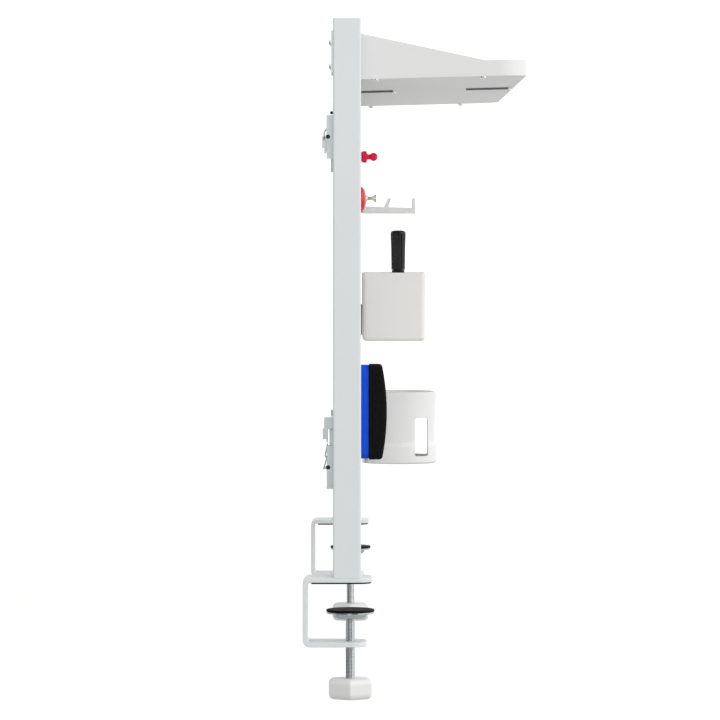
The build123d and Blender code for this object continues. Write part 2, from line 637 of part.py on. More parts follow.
# ------------------------------------------------------------------ cup holder
holder_x, holder_y = 8.0, -61.2
holder_z0, holder_z1 = 104.0, 189.0
ring_r, ring_top, lip_top = 45.1, 124.0, 131.0
wall_r0, wall_r1, holder_wall = 41.8, 44.4, 2.4
window_z0, window_z1 = 113.0, 158.0
window_y0, window_y1 = -95.2, -79.7
holder_back = -17.5
with BuildPart() as cup_holder:
    with BuildSketch(Plane.XZ.offset(-holder_y)):
        with BuildLine():
            outer = [(0, holder_z0), (ring_r - 2, holder_z0), (ring_r, holder_z0 + 2),
                     (ring_r, ring_top), (wall_r0, lip_top), (wall_r1, holder_z1 - 1),
                     (wall_r1 - holder_wall, holder_z1), (wall_r0 - holder_wall, lip_top),
                     (wall_r0 - holder_wall, holder_z0 + 3), (0, holder_z0 + 3)]
            Polyline(*[(holder_x + r, z) for r, z in outer], close=True)
        make_face()
    revolve(axis=Axis((holder_x, holder_y, 0), (0, 0, 1)))
    with BuildSketch(Plane.YZ.offset(holder_x)) as window:
        with Locations(((window_y0 + window_y1) / 2, (window_z0 + window_z1) / 2)):
            Rectangle(window_y1 - window_y0, window_z1 - window_z0)
        fillet(window.vertices(), 2.5)
    extrude(amount=60, both=True, mode=Mode.SUBTRACT)
    with Locations((holder_x, holder_back + 10, 150)):
        Box(120, 20, 120, mode=Mode.SUBTRACT)
    with Locations((holder_x, holder_back - 1.5, (holder_z0 + holder_z1) / 2 + 0.5)):
        Box(52, 3, holder_z1 - holder_z0 - 1)
cup_holder.part.label = "cup_holder"
export_step(cup_holder.part, "parts/cup_holder.step")

with BuildPart() as holder_magnet:
    with Locations((holder_x, (holder_back + front) / 2, 147)):
        Box(46, front - holder_back - 0.04, 72)
holder_magnet.part.label = "cup_holder_magnet"
export_step(holder_magnet.part, "parts/cup_holder_magnet.step")

# ------------------------------------------------------------------ double hook
hook_x, hook_w = -102.0, 22.0
hook_z0, hook_z1, hook_top, hook_plate_top = 399.5, 406.0, 417.2, 424.0
hook_back, hook_plate = -17.8, 2.4
inner_prong, prong_top_w, outer_prong, hook_end = -42.6, 3.4, -75.2, -78.8
with BuildPart() as double_hook:
    with BuildSketch(Plane.YZ.offset(hook_x)):
        with BuildLine():
            Polyline((hook_back, hook_z0), (hook_back, hook_plate_top),
                     (hook_back - hook_plate, hook_plate_top), (hook_back - hook_plate, hook_z1 + 1.6),
                     (inner_prong, hook_z1 + 0.8), (inner_prong - 4.6, hook_top),
                     (inner_prong - 4.6 - prong_top_w, hook_top), (inner_prong - 5.0, hook_z1 + 0.8),
                     (outer_prong, hook_z1), (outer_prong - 0.2, hook_top), (hook_end, hook_top),
                     (hook_end, hook_z0), close=True)
        make_face()
    extrude(amount=hook_w / 2, both=True)
double_hook.part.label = "double_hook"
export_step(double_hook.part, "parts/double_hook.step")

with BuildPart() as hook_magnet:
    with Locations((hook_x, (hook_back + front) / 2, (hook_z0 + hook_plate_top) / 2)):
        Box(hook_w - 2, front - hook_back - 0.04, hook_plate_top - hook_z0 - 2)
hook_magnet.part.label = "double_hook_magnet"
export_step(hook_magnet.part, "parts/double_hook_magnet.step")

# ------------------------------------------------------------------ pins and magnets (turned about Y)
def half_profile(x, z, profile):
    """Half section of a turned piece whose axis runs along -Y; points are (radius, distance out)."""
    with BuildSketch(Plane.XY.offset(z)) as half:
        with BuildLine():
            Polyline(*[(x + r, front - out) for r, out in profile], close=True)
        make_face()
    return half.sketch


touch = 0.02                    # gap between a magnet and what it sits on
push_pin_x, push_pin_z, pin_magnet_r = -102.0, 465.2, 5.5
pin_profile = [(0, 2.0), (6.2, 2.0), (6.8, 2.6), (6.8, 7.0), (6.4, 7.4), (5.2, 7.6), (3.3, 8.6),
               (3.0, 10.6), (3.6, 12.0), (4.6, 13.6), (4.9, 15.4), (4.4, 18.0), (3.0, 19.8), (0, 20.2)]
pin_axis = Axis((push_pin_x, 0, push_pin_z), (0, 1, 0))
with BuildPart() as push_pin:
    revolve(half_profile(push_pin_x, push_pin_z, pin_profile), axis=pin_axis)
push_pin.part.label = "push_pin_grip"
export_step(push_pin.part, "parts/push_pin_grip.step")

disc_profile = [(0, touch), (pin_magnet_r, touch), (pin_magnet_r, 2.0 - touch), (0, 2.0 - touch)]
with BuildPart() as push_pin_magnet:
    revolve(half_profile(push_pin_x, push_pin_z, disc_profile), axis=pin_axis)
push_pin_magnet.part.label = "push_pin_magnet"
export_step(push_pin_magnet.part, "parts/push_pin_magnet.step")

button_x, button_z, button_r, disc_r, disc_h = -208.0, 415.1, 14.1, 10.0, 2.6
lens_profile = [(0, disc_h), (disc_r, disc_h), (disc_r, 0.4), (button_r, 0.4), (button_r, 1.2),
                (13.2, 2.6), (11.4, 4.2), (8.6, 5.5), (5.0, 6.3), (0, 6.6)]
button_axis = Axis((button_x, 0, button_z), (0, 1, 0))
with BuildPart() as button_cover:
    revolve(half_profile(button_x, button_z, lens_profile), axis=button_axis)
button_cover.part.label = "button_magnet_cover"
export_step(button_cover.part, "parts/button_magnet_cover.step")

disc_profile = [(0, touch), (disc_r - 0.1, touch), (disc_r - 0.1, disc_h - touch), (0, disc_h - touch)]
with BuildPart() as button_disc:
    revolve(half_profile(button_x, button_z, disc_profile), axis=button_axis)
button_disc.part.label = "button_magnet_disc"
export_step(button_disc.part, "parts/button_magnet_disc.step")

steel_pin_x, steel_pin_z = 8.0, 418.0
steel_profile = [(0, touch), (4.6, touch), (4.6, 6.4), (2.9, 8.3), (2.1, 9.4), (2.1, 14.2),
                 (3.0, 15.6), (4.5, 17.2), (4.5, 19.0), (0, 19.3)]
with BuildPart() as steel_pin:
    revolve(half_profile(steel_pin_x, steel_pin_z, steel_profile),
            axis=Axis((steel_pin_x, 0, steel_pin_z), (0, 1, 0)))
steel_pin.part.label = "steel_pin_magnet"
export_step(steel_pin.part, "parts/steel_pin_magnet.step")

# ------------------------------------------------------------------ eraser
eraser_x, eraser_w = -309.0, 54.0
eraser_z0, eraser_z1 = 124.4, 231.0
felt_y, grip_y = -24.2, -44.1
eraser_mid = (eraser_z0 + eraser_z1) / 2
eraser_magnet_w, eraser_magnet_len, recess = 30.0, 70.0, 4.0
with BuildPart() as eraser_felt:
    with BuildSketch(Plane.XZ.offset(-front + touch)) as felt_plan:
        with Locations((eraser_x, eraser_mid)):
            Rectangle(eraser_w - 3, eraser_z1 - eraser_z0 - 3)
        fillet(felt_plan.vertices(), 9)
    extrude(amount=front - felt_y - touch)
    with Locations((eraser_x, felt_y + recess / 2, eraser_mid)):
        Box(eraser_magnet_w, recess, eraser_magnet_len, mode=Mode.SUBTRACT)
eraser_felt.part.label = "eraser_felt"
export_step(eraser_felt.part, "parts/eraser_felt.step")

with BuildPart() as eraser_magnet:
    with Locations((eraser_x, felt_y + recess / 2, eraser_mid)):
        Box(eraser_magnet_w - 0.1, recess - 0.1, eraser_magnet_len - 0.1)
eraser_magnet.part.label = "eraser_magnet"
export_step(eraser_magnet.part, "parts/eraser_magnet.step")

grip_edge = felt_y - 14.6       # where the flat ends meet the bulging front
grip_z0, grip_z1 = eraser_z0 + 0.6, eraser_z1 - 0.6
with BuildPart() as eraser_grip:
    with BuildSketch(Plane.YZ.offset(eraser_x)) as grip_shape:
        with BuildLine():
            Polyline((grip_edge, grip_z0), (felt_y - touch, grip_z0), (felt_y - touch, grip_z1),
                     (grip_edge, grip_z1))
            ThreePointArc((grip_edge, grip_z1), (grip_y, eraser_mid), (grip_edge, grip_z0))
        make_face()
        fillet(grip_shape.vertices().group_by(Axis.X)[0], 4.5)
    extrude(amount=eraser_w / 2, both=True)
    ends = eraser_grip.faces().filter_by(Axis.X).edges()
    fillet(ends.filter_by(lambda e: e.center().Y < felt_y - 1), 5)
eraser_grip.part.label = "eraser_grip"
export_step(eraser_grip.part, "parts/eraser_grip.step")
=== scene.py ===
from math import cos, pi, radians, sin

import bmesh
import bpy
from mathutils import noise, Matrix, Vector


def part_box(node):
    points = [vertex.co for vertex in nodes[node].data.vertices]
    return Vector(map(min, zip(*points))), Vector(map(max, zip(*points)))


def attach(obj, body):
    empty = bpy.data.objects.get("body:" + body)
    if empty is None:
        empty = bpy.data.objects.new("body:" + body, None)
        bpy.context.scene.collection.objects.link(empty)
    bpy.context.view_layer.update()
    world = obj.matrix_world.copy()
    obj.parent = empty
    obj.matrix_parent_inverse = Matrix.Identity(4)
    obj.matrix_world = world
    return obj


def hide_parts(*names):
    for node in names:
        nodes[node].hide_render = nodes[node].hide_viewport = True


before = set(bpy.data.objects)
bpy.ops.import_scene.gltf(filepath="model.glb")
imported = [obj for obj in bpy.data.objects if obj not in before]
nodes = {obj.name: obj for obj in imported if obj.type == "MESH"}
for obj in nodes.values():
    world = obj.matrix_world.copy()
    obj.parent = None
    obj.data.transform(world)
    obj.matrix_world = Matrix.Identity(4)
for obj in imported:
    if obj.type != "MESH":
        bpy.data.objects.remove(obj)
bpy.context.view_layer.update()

scene = bpy.context.scene
mm = 0.001

# ---------------------------------------------------------------- studio floor
# Pale floor a desk's height below the clamps, because the desk itself isn't part of the object.
# Its far side is lit from below like a sweep, so that it runs into the white of the room.
desk_height = 0.74
floor_shape = bmesh.new()
bmesh.ops.create_circle(floor_shape, cap_ends=True, radius=14.0, segments=96)
bmesh.ops.translate(floor_shape, verts=floor_shape.verts, vec=(0, 0, -desk_height))
floor_mesh = bpy.data.meshes.new("floor")
floor_shape.to_mesh(floor_mesh)
floor_shape.free()
floor = bpy.data.objects.new("floor", floor_mesh)
scene.collection.objects.link(floor)

floor_paper = bpy.data.materials.new("floor_paper")
floor_paper.use_nodes = True
paper_tree = floor_paper.node_tree
paper = paper_tree.nodes["Principled BSDF"]
paper.inputs["Base Color"].default_value = (0.48, 0.48, 0.46, 1)
paper.inputs["Roughness"].default_value = 0.9
paper.inputs["Emission Color"].default_value = (1, 1, 1, 1)
paper_place = paper_tree.nodes.new("ShaderNodeTexCoord")
paper_reach = paper_tree.nodes.new("ShaderNodeVectorMath")
paper_reach.operation = "LENGTH"
paper_glow = paper_tree.nodes.new("ShaderNodeMapRange")
for socket, value in (("From Min", 3.0), ("From Max", 4.8), ("To Min", 0.0), ("To Max", 0.45)):
    paper_glow.inputs[socket].default_value = value
paper_tree.links.new(paper_place.outputs["Object"], paper_reach.inputs[0])
paper_tree.links.new(paper_reach.outputs["Value"], paper_glow.inputs["Value"])
paper_tree.links.new(paper_glow.outputs["Result"], paper.inputs["Emission Strength"])
floor_mesh.materials.append(floor_paper)

# ---------------------------------------------------------------- room and lamps
# A white room, a little brighter in front of the board and dimmer behind it, with soft lamps in
# front, above and beside the camera.
room = bpy.data.worlds.new("white_room")
room.use_nodes = True
room_tree = room.node_tree
room_place = room_tree.nodes.new("ShaderNodeTexCoord")
room_split = room_tree.nodes.new("ShaderNodeSeparateXYZ")
room_side = room_tree.nodes.new("ShaderNodeMapRange")
for socket, value in (("From Min", -1.0), ("From Max", 1.0), ("To Min", 0.0), ("To Max", 1.0)):
    room_side.inputs[socket].default_value = value
room_ramp = room_tree.nodes.new("ShaderNodeValToRGB")
room_ramp.color_ramp.elements[0].position = 0.05
room_ramp.color_ramp.elements[0].color = (1, 1, 1, 1)
room_ramp.color_ramp.elements[1].position = 0.95
room_ramp.color_ramp.elements[1].color = (0.34, 0.34, 0.34, 1)
for position in (0.44, 0.56):
    room_ramp.color_ramp.elements.new(position).color = (0.84, 0.84, 0.84, 1)
room_tree.links.new(room_place.outputs["Generated"], room_split.inputs["Vector"])
room_tree.links.new(room_split.outputs["Y"], room_side.inputs["Value"])
room_tree.links.new(room_side.outputs["Result"], room_ramp.inputs["Fac"])
room_tree.links.new(room_ramp.outputs["Color"], room_tree.nodes["Background"].inputs["Color"])
room_tree.nodes["Background"].inputs["Strength"].default_value = 1.42
scene.world = room
scene.view_settings.view_transform = "Standard"


def soft_lamp(name, place, size, power, aim=(0, 0, 0.25)):
    """Square soft lamp at place, turned to aim."""
    light = bpy.data.lights.new(name, "AREA")
    light.size, light.energy = size, power
    lamp = bpy.data.objects.new(name, light)
    lamp.location = place
    lamp.rotation_euler = (Vector(aim) - Vector(place)).to_track_quat("-Z", "Y").to_euler()
    scene.collection.objects.link(lamp)


soft_lamp("front_lamp", (-1.4, -2.8, 1.8), 1.4, 14)
soft_lamp("camera_lamp", (-3.4, -1.0, 1.2), 0.9, 7)
soft_lamp("top_lamp", (0.4, -0.4, 2.8), 1.6, 10)

# cards beside the camera's view, black and grey, that show only as bands in the bright metal
for name, shade, corners in (("front_card", 0.01, [(-2.6, -0.28), (-1.9, -1.0)]),
                             ("rear_card", 0.2, [(-2.6, 0.4), (-0.9, 1.5)]),
                             ("back_card", 0.01, [(-0.6, 1.5), (0.5, 1.2)])):
    card_paper = bpy.data.materials.new(name)
    card_paper.use_nodes = True
    card_paper.node_tree.nodes["Principled BSDF"].inputs["Base Color"].default_value = (shade,) * 3 + (1,)
    card_shape = bmesh.new()
    card_shape.faces.new([card_shape.verts.new((x, y, z)) for (x, y), z in
                          zip(corners + corners[::-1], (-0.6, -0.6, 0.9, 0.9))])
    card_mesh = bpy.data.meshes.new(name)
    card_shape.to_mesh(card_mesh)
    card_shape.free()
    card_mesh.materials.append(card_paper)
    card = bpy.data.objects.new(name, card_mesh)
    card.visible_camera = card.visible_diffuse = card.visible_shadow = False
    scene.collection.objects.link(card)

# ---------------------------------------------------------------- camera
# A long lens beside the left post, a little above the board's middle and tipped down slightly.
near_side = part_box("left_post")[0].x
camera_distance, camera_height, camera_y = 4.574, 0.371, -0.0048
aim_y, aim_height = -0.0139, 0.2405
camera_data = bpy.data.cameras.new("long_lens")
camera_data.sensor_width = 36.0
camera_data.lens = 213.75
camera_data.clip_end = 60.0
camera = bpy.data.objects.new("camera", camera_data)
camera.location = (near_side - camera_distance, camera_y, camera_height)
aim_line = Vector((near_side, aim_y, aim_height)) - camera.location
camera.rotation_euler = aim_line.to_track_quat("-Z", "Y").to_euler()
scene.collection.objects.link(camera)
scene.camera = camera


# ---------------------------------------------------------------- clamp brackets
# A 50 x 5 mm steel strip bent into a C on a press brake, with rounded plan corners and a hole for
# the screw. It is powder coated with the post that is welded to it.
def new_finish(name, colour, roughness, metallic=0.0):
    """Material of one even colour, ready for patterns."""
    finish = bpy.data.materials.new(name)
    finish.use_nodes = True
    shader = finish.node_tree.nodes["Principled BSDF"]
    shader.inputs["Base Color"].default_value = (*colour, 1)
    shader.inputs["Roughness"].default_value = roughness
    shader.inputs["Metallic"].default_value = metallic
    return finish


def less_shine(finish, level):
    """Lowers the mirror part of a dark finish."""
    finish.node_tree.nodes["Principled BSDF"].inputs["Specular IOR Level"].default_value = level


def grain(finish, per_metre, detail=3.0, stretch=(1, 1, 1)):
    """Noise on the piece's own coordinates."""
    tree = finish.node_tree
    place = tree.nodes.new("ShaderNodeTexCoord")
    spread = tree.nodes.new("ShaderNodeMapping")
    spread.inputs["Scale"].default_value = stretch
    noise = tree.nodes.new("ShaderNodeTexNoise")
    noise.inputs["Scale"].default_value = per_metre
    noise.inputs["Detail"].default_value = detail
    tree.links.new(place.outputs["Object"], spread.inputs["Vector"])
    tree.links.new(spread.outputs["Vector"], noise.inputs["Vector"])
    return noise.outputs["Fac"]


def tint(finish, pattern, low, high, start=0.35, end=0.65):
    """Colours the finish from low to high by a pattern."""
    tree = finish.node_tree
    ramp = tree.nodes.new("ShaderNodeValToRGB")
    for stop, position, colour in zip(ramp.color_ramp.elements, (start, end), (low, high)):
        stop.position = position
        stop.color = (*colour, 1)
    tree.links.new(pattern, ramp.inputs["Fac"])
    tree.links.new(ramp.outputs["Color"], tree.nodes["Principled BSDF"].inputs["Base Color"])


def sheen_change(finish, pattern, low, high):
    """Varies the roughness from low to high by a pattern."""
    tree = finish.node_tree
    spread = tree.nodes.new("ShaderNodeMapRange")
    for socket, value in (("From Min", 0.3), ("From Max", 0.7), ("To Min", low), ("To Max", high)):
        spread.inputs[socket].default_value = value
    tree.links.new(pattern, spread.inputs["Value"])
    tree.links.new(spread.outputs["Result"], tree.nodes["Principled BSDF"].inputs["Roughness"])


def relief(finish, pattern, depth, strength=1.0):
    """Raises the surface by a pattern, over any relief it has already."""
    tree = finish.node_tree
    bump = tree.nodes.new("ShaderNodeBump")
    bump.inputs["Strength"].default_value = strength
    bump.inputs["Distance"].default_value = depth
    normal = tree.nodes["Principled BSDF"].inputs["Normal"]
    if normal.is_linked:
        tree.links.new(normal.links[0].from_socket, bump.inputs["Normal"])
    tree.links.new(pattern, bump.inputs["Height"])
    tree.links.new(bump.outputs["Normal"], normal)


def shaded(colour, factor):
    return tuple(channel * factor for channel in colour)


def powder_coat(name, colour):
    """Satin powder coat: orange peel about a millimetre wide and a faint cloudiness."""
    coat = new_finish(name, colour, 0.42)
    clouds = grain(coat, 14, 2.0)
    tint(coat, clouds, shaded(colour, 0.994), shaded(colour, 1.006))
    peel = grain(coat, 850, 2.0)
    sheen_change(coat, peel, 0.38, 0.48)
    relief(coat, peel, 0.03 * mm, 0.3)
    return coat


def merged_copy(node):
    """Copy of a node's mesh with its triangles joined and its flat faces made whole."""
    shape = bmesh.new()
    shape.from_mesh(nodes[node].data)
    bmesh.ops.remove_doubles(shape, verts=shape.verts, dist=2e-6)
    bmesh.ops.dissolve_limit(shape, angle_limit=radians(0.5), use_dissolve_boundaries=False,
                             verts=shape.verts, edges=shape.edges)
    return shape


def soften(shape, radius, segments=2, corner=28):
    """Rounds each edge that turns by more than corner degrees."""
    sharp = [edge for edge in shape.edges
             if edge.is_manifold and edge.calc_face_angle() > radians(corner)]
    bmesh.ops.bevel(shape, geom=sharp, offset=radius, offset_type="OFFSET", segments=segments,
                    profile=0.5, affect="EDGES", clamp_overlap=True, material=-1)


def fit(shape, name, body, slot, finish, *stands_for, crease=40):
    """Makes the shape a piece with its finish, its body and the nodes that it stands for."""
    mesh = bpy.data.meshes.new(name)
    shape.to_mesh(mesh)
    shape.free()
    mesh.materials.append(finish)
    mesh.shade_smooth()
    mesh.set_sharp_from_angle(angle=radians(crease))
    piece = bpy.data.objects.new(name, mesh)
    scene.collection.objects.link(piece)
    even = piece.modifiers.new("even_shading", "WEIGHTED_NORMAL")
    even.keep_sharp = True
    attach(piece, body)
    if stands_for:
        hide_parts(*stands_for)
    return piece


def fit_softened(node, ending, body, slot, finish, radius, segments=2, corner=28):
    """Puts a copy of the node with softened edges in the node's place."""
    shape = merged_copy(node)
    soften(shape, radius, segments, corner)
    return fit(shape, f"{node}_{ending}", body, slot, finish, node)


def dress(finish, *names):
    """Gives nodes that keep their own shape a finish."""
    for name in names:
        mesh = nodes[name].data
        mesh.materials.clear()
        mesh.materials.append(finish)


frame_grey = (0.655, 0.685, 0.695)
frame_coat = powder_coat("frame_powder_coat", frame_grey)
for side in ("left", "right"):
    fit_softened(f"{side}_clamp_bracket", "strip", "frame", "painted_steel", frame_coat, 0.7 * mm, 3)

# ---------------------------------------------------------------- desk pads and jaw pads
# Black rubber: a sheet glued under each top plate, and a disc moulded with a rounded rim that is
# glued into each jaw. Both have the fine matt grain of a moulded rubber mat.
rubber = new_finish("black_rubber_mat", (0.018, 0.018, 0.019), 0.62)
rubber_grain = grain(rubber, 1600, 2.0)
less_shine(rubber, 0.1)
tint(rubber, rubber_grain, (0.002, 0.002, 0.003), (0.006, 0.006, 0.007))
sheen_change(rubber, rubber_grain, 0.55, 0.75)
relief(rubber, rubber_grain, 0.08 * mm)
fit_softened("desk_pads", "rubber", "frame", "black_rubber", rubber, 0.4 * mm)


def lathe(profile, steps=64):
    """Full turn about Z of a profile of (radius, height) points."""
    shape = bmesh.new()
    line = [shape.verts.new((radius, 0, height)) for radius, height in profile]
    edges = [shape.edges.new(pair) for pair in zip(line, line[1:])]
    bmesh.ops.spin(shape, geom=line + edges, cent=(0, 0, 0), axis=(0, 0, 1), angle=2 * pi,
                   steps=steps, use_merge=True)
    bmesh.ops.remove_doubles(shape, verts=shape.verts, dist=1e-6)
    bmesh.ops.recalc_face_normals(shape, faces=shape.faces)
    return shape


def stand(shape, centre, direction=(0, 0, 1)):
    """Turns a shape from +Z to direction and moves its origin to centre."""
    turn = Vector((0, 0, 1)).rotation_difference(Vector(direction)).to_matrix().to_4x4()
    bmesh.ops.transform(shape, matrix=Matrix.Translation(centre) @ turn, verts=shape.verts)


def round_corner(centre, radius, start, end, steps=5):
    """Points of an arc in a profile, from start to end degrees."""
    angles = [radians(start + (end - start) * step / steps) for step in range(steps + 1)]
    return [(centre[0] + radius * cos(a), centre[1] + radius * sin(a)) for a in angles]


def middle(node):
    low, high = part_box(node)
    return (low + high) / 2


for side in ("left", "right"):
    low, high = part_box(f"{side}_jaw_pad")
    pad_radius, pad_thick = (high.x - low.x) / 2, high.z - low.z
    rim = 1.1 * mm
    profile = [(0, 0), (pad_radius - 0.4 * mm, 0), (pad_radius, 0.4 * mm)]
    profile += round_corner((pad_radius - rim, pad_thick - rim), rim, 0, 90)
    profile += [(0.35 * pad_radius, pad_thick), (0.3 * pad_radius, pad_thick - 0.3 * mm),
                (0, pad_thick - 0.3 * mm)]
    jaw_rubber = lathe(profile, 96)
    stand(jaw_rubber, (middle(f"{side}_jaw_pad").x, middle(f"{side}_jaw_pad").y, low.z))
    fit(jaw_rubber, f"{side}_jaw_rubber", f"{side}_jaw", "black_rubber", rubber, f"{side}_jaw_pad")

# ---------------------------------------------------------------- jaw dishes
# Pressed steel dishes, bright zinc plated: a flat rim under the rubber and a rounded cup in the
# middle that is riveted over the end of the screw.
zinc = new_finish("bright_zinc", (0.52, 0.56, 0.58), 0.2, 1.0)
zinc_clouds = grain(zinc, 160, 4.0)
tint(zinc, zinc_clouds, (0.50, 0.54, 0.56), (0.54, 0.58, 0.60))
sheen_change(zinc, zinc_clouds, 0.17, 0.26)
relief(zinc, grain(zinc, 1200, 2.0), 0.02 * mm, 0.4)
for side in ("left", "right"):
    low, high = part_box(f"{side}_jaw_dish")
    rim_radius, dish_height = (high.x - low.x) / 2, high.z - low.z
    rim_thick, cup_radius, cup_bend, screw_radius = 2.0 * mm, 18.0 * mm, 4.0 * mm, 5.1 * mm
    profile = [(0, dish_height), (rim_radius - 0.5 * mm, dish_height)]
    profile += [(rim_radius, dish_height - 0.5 * mm), (rim_radius, dish_height - rim_thick + 0.5 * mm),
                (rim_radius - 0.5 * mm, dish_height - rim_thick)]
    profile += [(cup_radius + 1.5 * mm, dish_height - rim_thick)]
    profile += round_corner((cup_radius - cup_bend, cup_bend), cup_bend, 0, -90)
    profile += [(screw_radius + 2.5 * mm, 0), (screw_radius + 1.8 * mm, 0.5 * mm),
                (screw_radius, 0.5 * mm), (screw_radius, 4.0 * mm), (0, 4.0 * mm)]
    dish = lathe(profile, 96)
    centre = middle(f"{side}_jaw_dish")
    stand(dish, (centre.x, centre.y, low.z))
    fit(dish, f"{side}_jaw_pressing", f"{side}_jaw", "zinc_steel", zinc, f"{side}_jaw_dish")

# ---------------------------------------------------------------- clamp screws
# M10 rod with a rolled 1.5 mm pitch thread, zinc plated. One end turns in the jaw and the other is
# moulded into the knob.
thread_steel = new_finish("rolled_thread", (0.50, 0.53, 0.55), 0.26, 1.0)
thread_clouds = grain(thread_steel, 260, 4.0)
tint(thread_steel, thread_clouds, (0.47, 0.50, 0.52), (0.53, 0.56, 0.58))
sheen_change(thread_steel, thread_clouds, 0.09, 0.13)
pitch, thread_depth, thread_steps = 1.5 * mm, 0.16 * mm, 24
for side in ("left", "right"):
    low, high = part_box(f"{side}_clamp_screw")
    centre = middle(f"{side}_clamp_screw")
    crest = (high.x - low.x) / 2
    root = crest - thread_depth
    rod = bmesh.new()
    tooth = [(root, 0), (root, 0.1 * pitch), (crest, 0.34 * pitch), (crest, 0.76 * pitch),
             (root, pitch)]
    tooth_line = [rod.verts.new((radius, 0, height)) for radius, height in tooth]
    tooth_edges = [rod.edges.new(pair) for pair in zip(tooth_line, tooth_line[1:])]
    turns = int((high.z - low.z) / pitch) + 2
    bmesh.ops.spin(rod, geom=tooth_line + tooth_edges, cent=(0, 0, 0), axis=(0, 0, 1),
                   dvec=(0, 0, pitch / thread_steps), angle=2 * pi * turns,
                   steps=turns * thread_steps, use_merge=False)
    bmesh.ops.remove_doubles(rod, verts=rod.verts, dist=2e-6)
    bmesh.ops.translate(rod, verts=rod.verts, vec=(centre.x, centre.y, low.z - pitch))
    for level, keep_above in ((low.z, True), (high.z, False)):
        bmesh.ops.bisect_plane(rod, geom=rod.verts[:] + rod.edges[:] + rod.faces[:],
                               plane_co=(0, 0, level), plane_no=(0, 0, -1 if keep_above else 1),
                               clear_outer=True)
    bmesh.ops.holes_fill(rod, edges=[edge for edge in rod.edges if edge.is_boundary])
    bmesh.ops.recalc_face_normals(rod, faces=rod.faces)
    fit(rod, f"{side}_threaded_rod", f"{side}_screw", "zinc_steel", thread_steel,
        f"{side}_clamp_screw", crease=50)

# ---------------------------------------------------------------- clamp knobs
# Six-sided knobs moulded in pale grey plastic over the screw, with full round edges and a shallow
# dish underneath.
knob_grey = (0.70, 0.70, 0.70)
knob_plastic = new_finish("knob_plastic", knob_grey, 0.5)
knob_spark = grain(knob_plastic, 1900, 2.0)
tint(knob_plastic, grain(knob_plastic, 30, 2.0), shaded(knob_grey, 0.98), shaded(knob_grey, 1.02))
sheen_change(knob_plastic, knob_spark, 0.44, 0.58)
relief(knob_plastic, knob_spark, 0.05 * mm)


def six_sided(flat_half, corner, levels):
    """Stack of six-sided rings with round corners, one for each (height, inset), closed at both ends."""
    shape = bmesh.new()
    rings = []
    for height, inset in levels:
        reach = (flat_half - inset - corner) / cos(radians(30))
        ring = []
        for side in range(6):
            way = radians(60 * side)
            ring += [shape.verts.new((reach * cos(way) + corner * cos(way + turn),
                                      reach * sin(way) + corner * sin(way + turn), height))
                     for turn in (radians(-30), radians(-10), radians(10), radians(30))]
        rings.append(ring)
    for lower, upper in zip(rings, rings[1:]):
        for spot in range(len(lower)):
            after = (spot + 1) % len(lower)
            shape.faces.new((lower[spot], lower[after], upper[after], upper[spot]))
    shape.faces.new(rings[0][::-1])
    shape.faces.new(rings[-1])
    bmesh.ops.recalc_face_normals(shape, faces=shape.faces)
    return shape


knob_corner, knob_round = 1.6 * mm, 6.3 * mm
for side in ("left", "right"):
    low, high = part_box(f"{side}_clamp_knob")
    centre = middle(f"{side}_clamp_knob")
    flat_half, knob_height = (high.y - low.y) / 2, high.z - low.z
    bends = [radians(step * 15) for step in range(7)]
    levels = [(knob_round * (1 - sin(bend)), knob_round * (1 - cos(bend))) for bend in bends[::-1]]
    levels += [(knob_height - knob_round * (1 - sin(bend)), knob_round * (1 - cos(bend))) for bend in bends]
    knob = six_sided(flat_half, knob_corner, levels)
    knob.faces.ensure_lookup_table()
    bottom = min(knob.faces, key=lambda face: face.calc_center_median().z)
    bmesh.ops.inset_region(knob, faces=[bottom], thickness=1.6 * mm, depth=-0.9 * mm)
    stand(knob, (centre.x, centre.y, low.z))
    fit(knob, f"{side}_knob_moulding", f"{side}_screw", "knob_plastic", knob_plastic,
        f"{side}_clamp_knob")

# ---------------------------------------------------------------- posts and their caps
# 50 x 30 mm steel tube, 1.5 mm wall, welded upright on the clamp and powder coated. A moulded cap
# closes the top, with a fine matt grain.
for side in ("left", "right"):
    fit_softened(f"{side}_post", "tube", "frame", "painted_steel", frame_coat, 0.3 * mm)
cap_grey = (0.66, 0.69, 0.70)
cap_plastic = new_finish("cap_plastic", cap_grey, 0.55)
tint(cap_plastic, grain(cap_plastic, 40, 2.0), shaded(cap_grey, 0.98), shaded(cap_grey, 1.02))
relief(cap_plastic, grain(cap_plastic, 2000, 2.0), 0.06 * mm)
fit_softened("post_caps", "moulding", "frame", "cap_plastic", cap_plastic, 0.4 * mm)

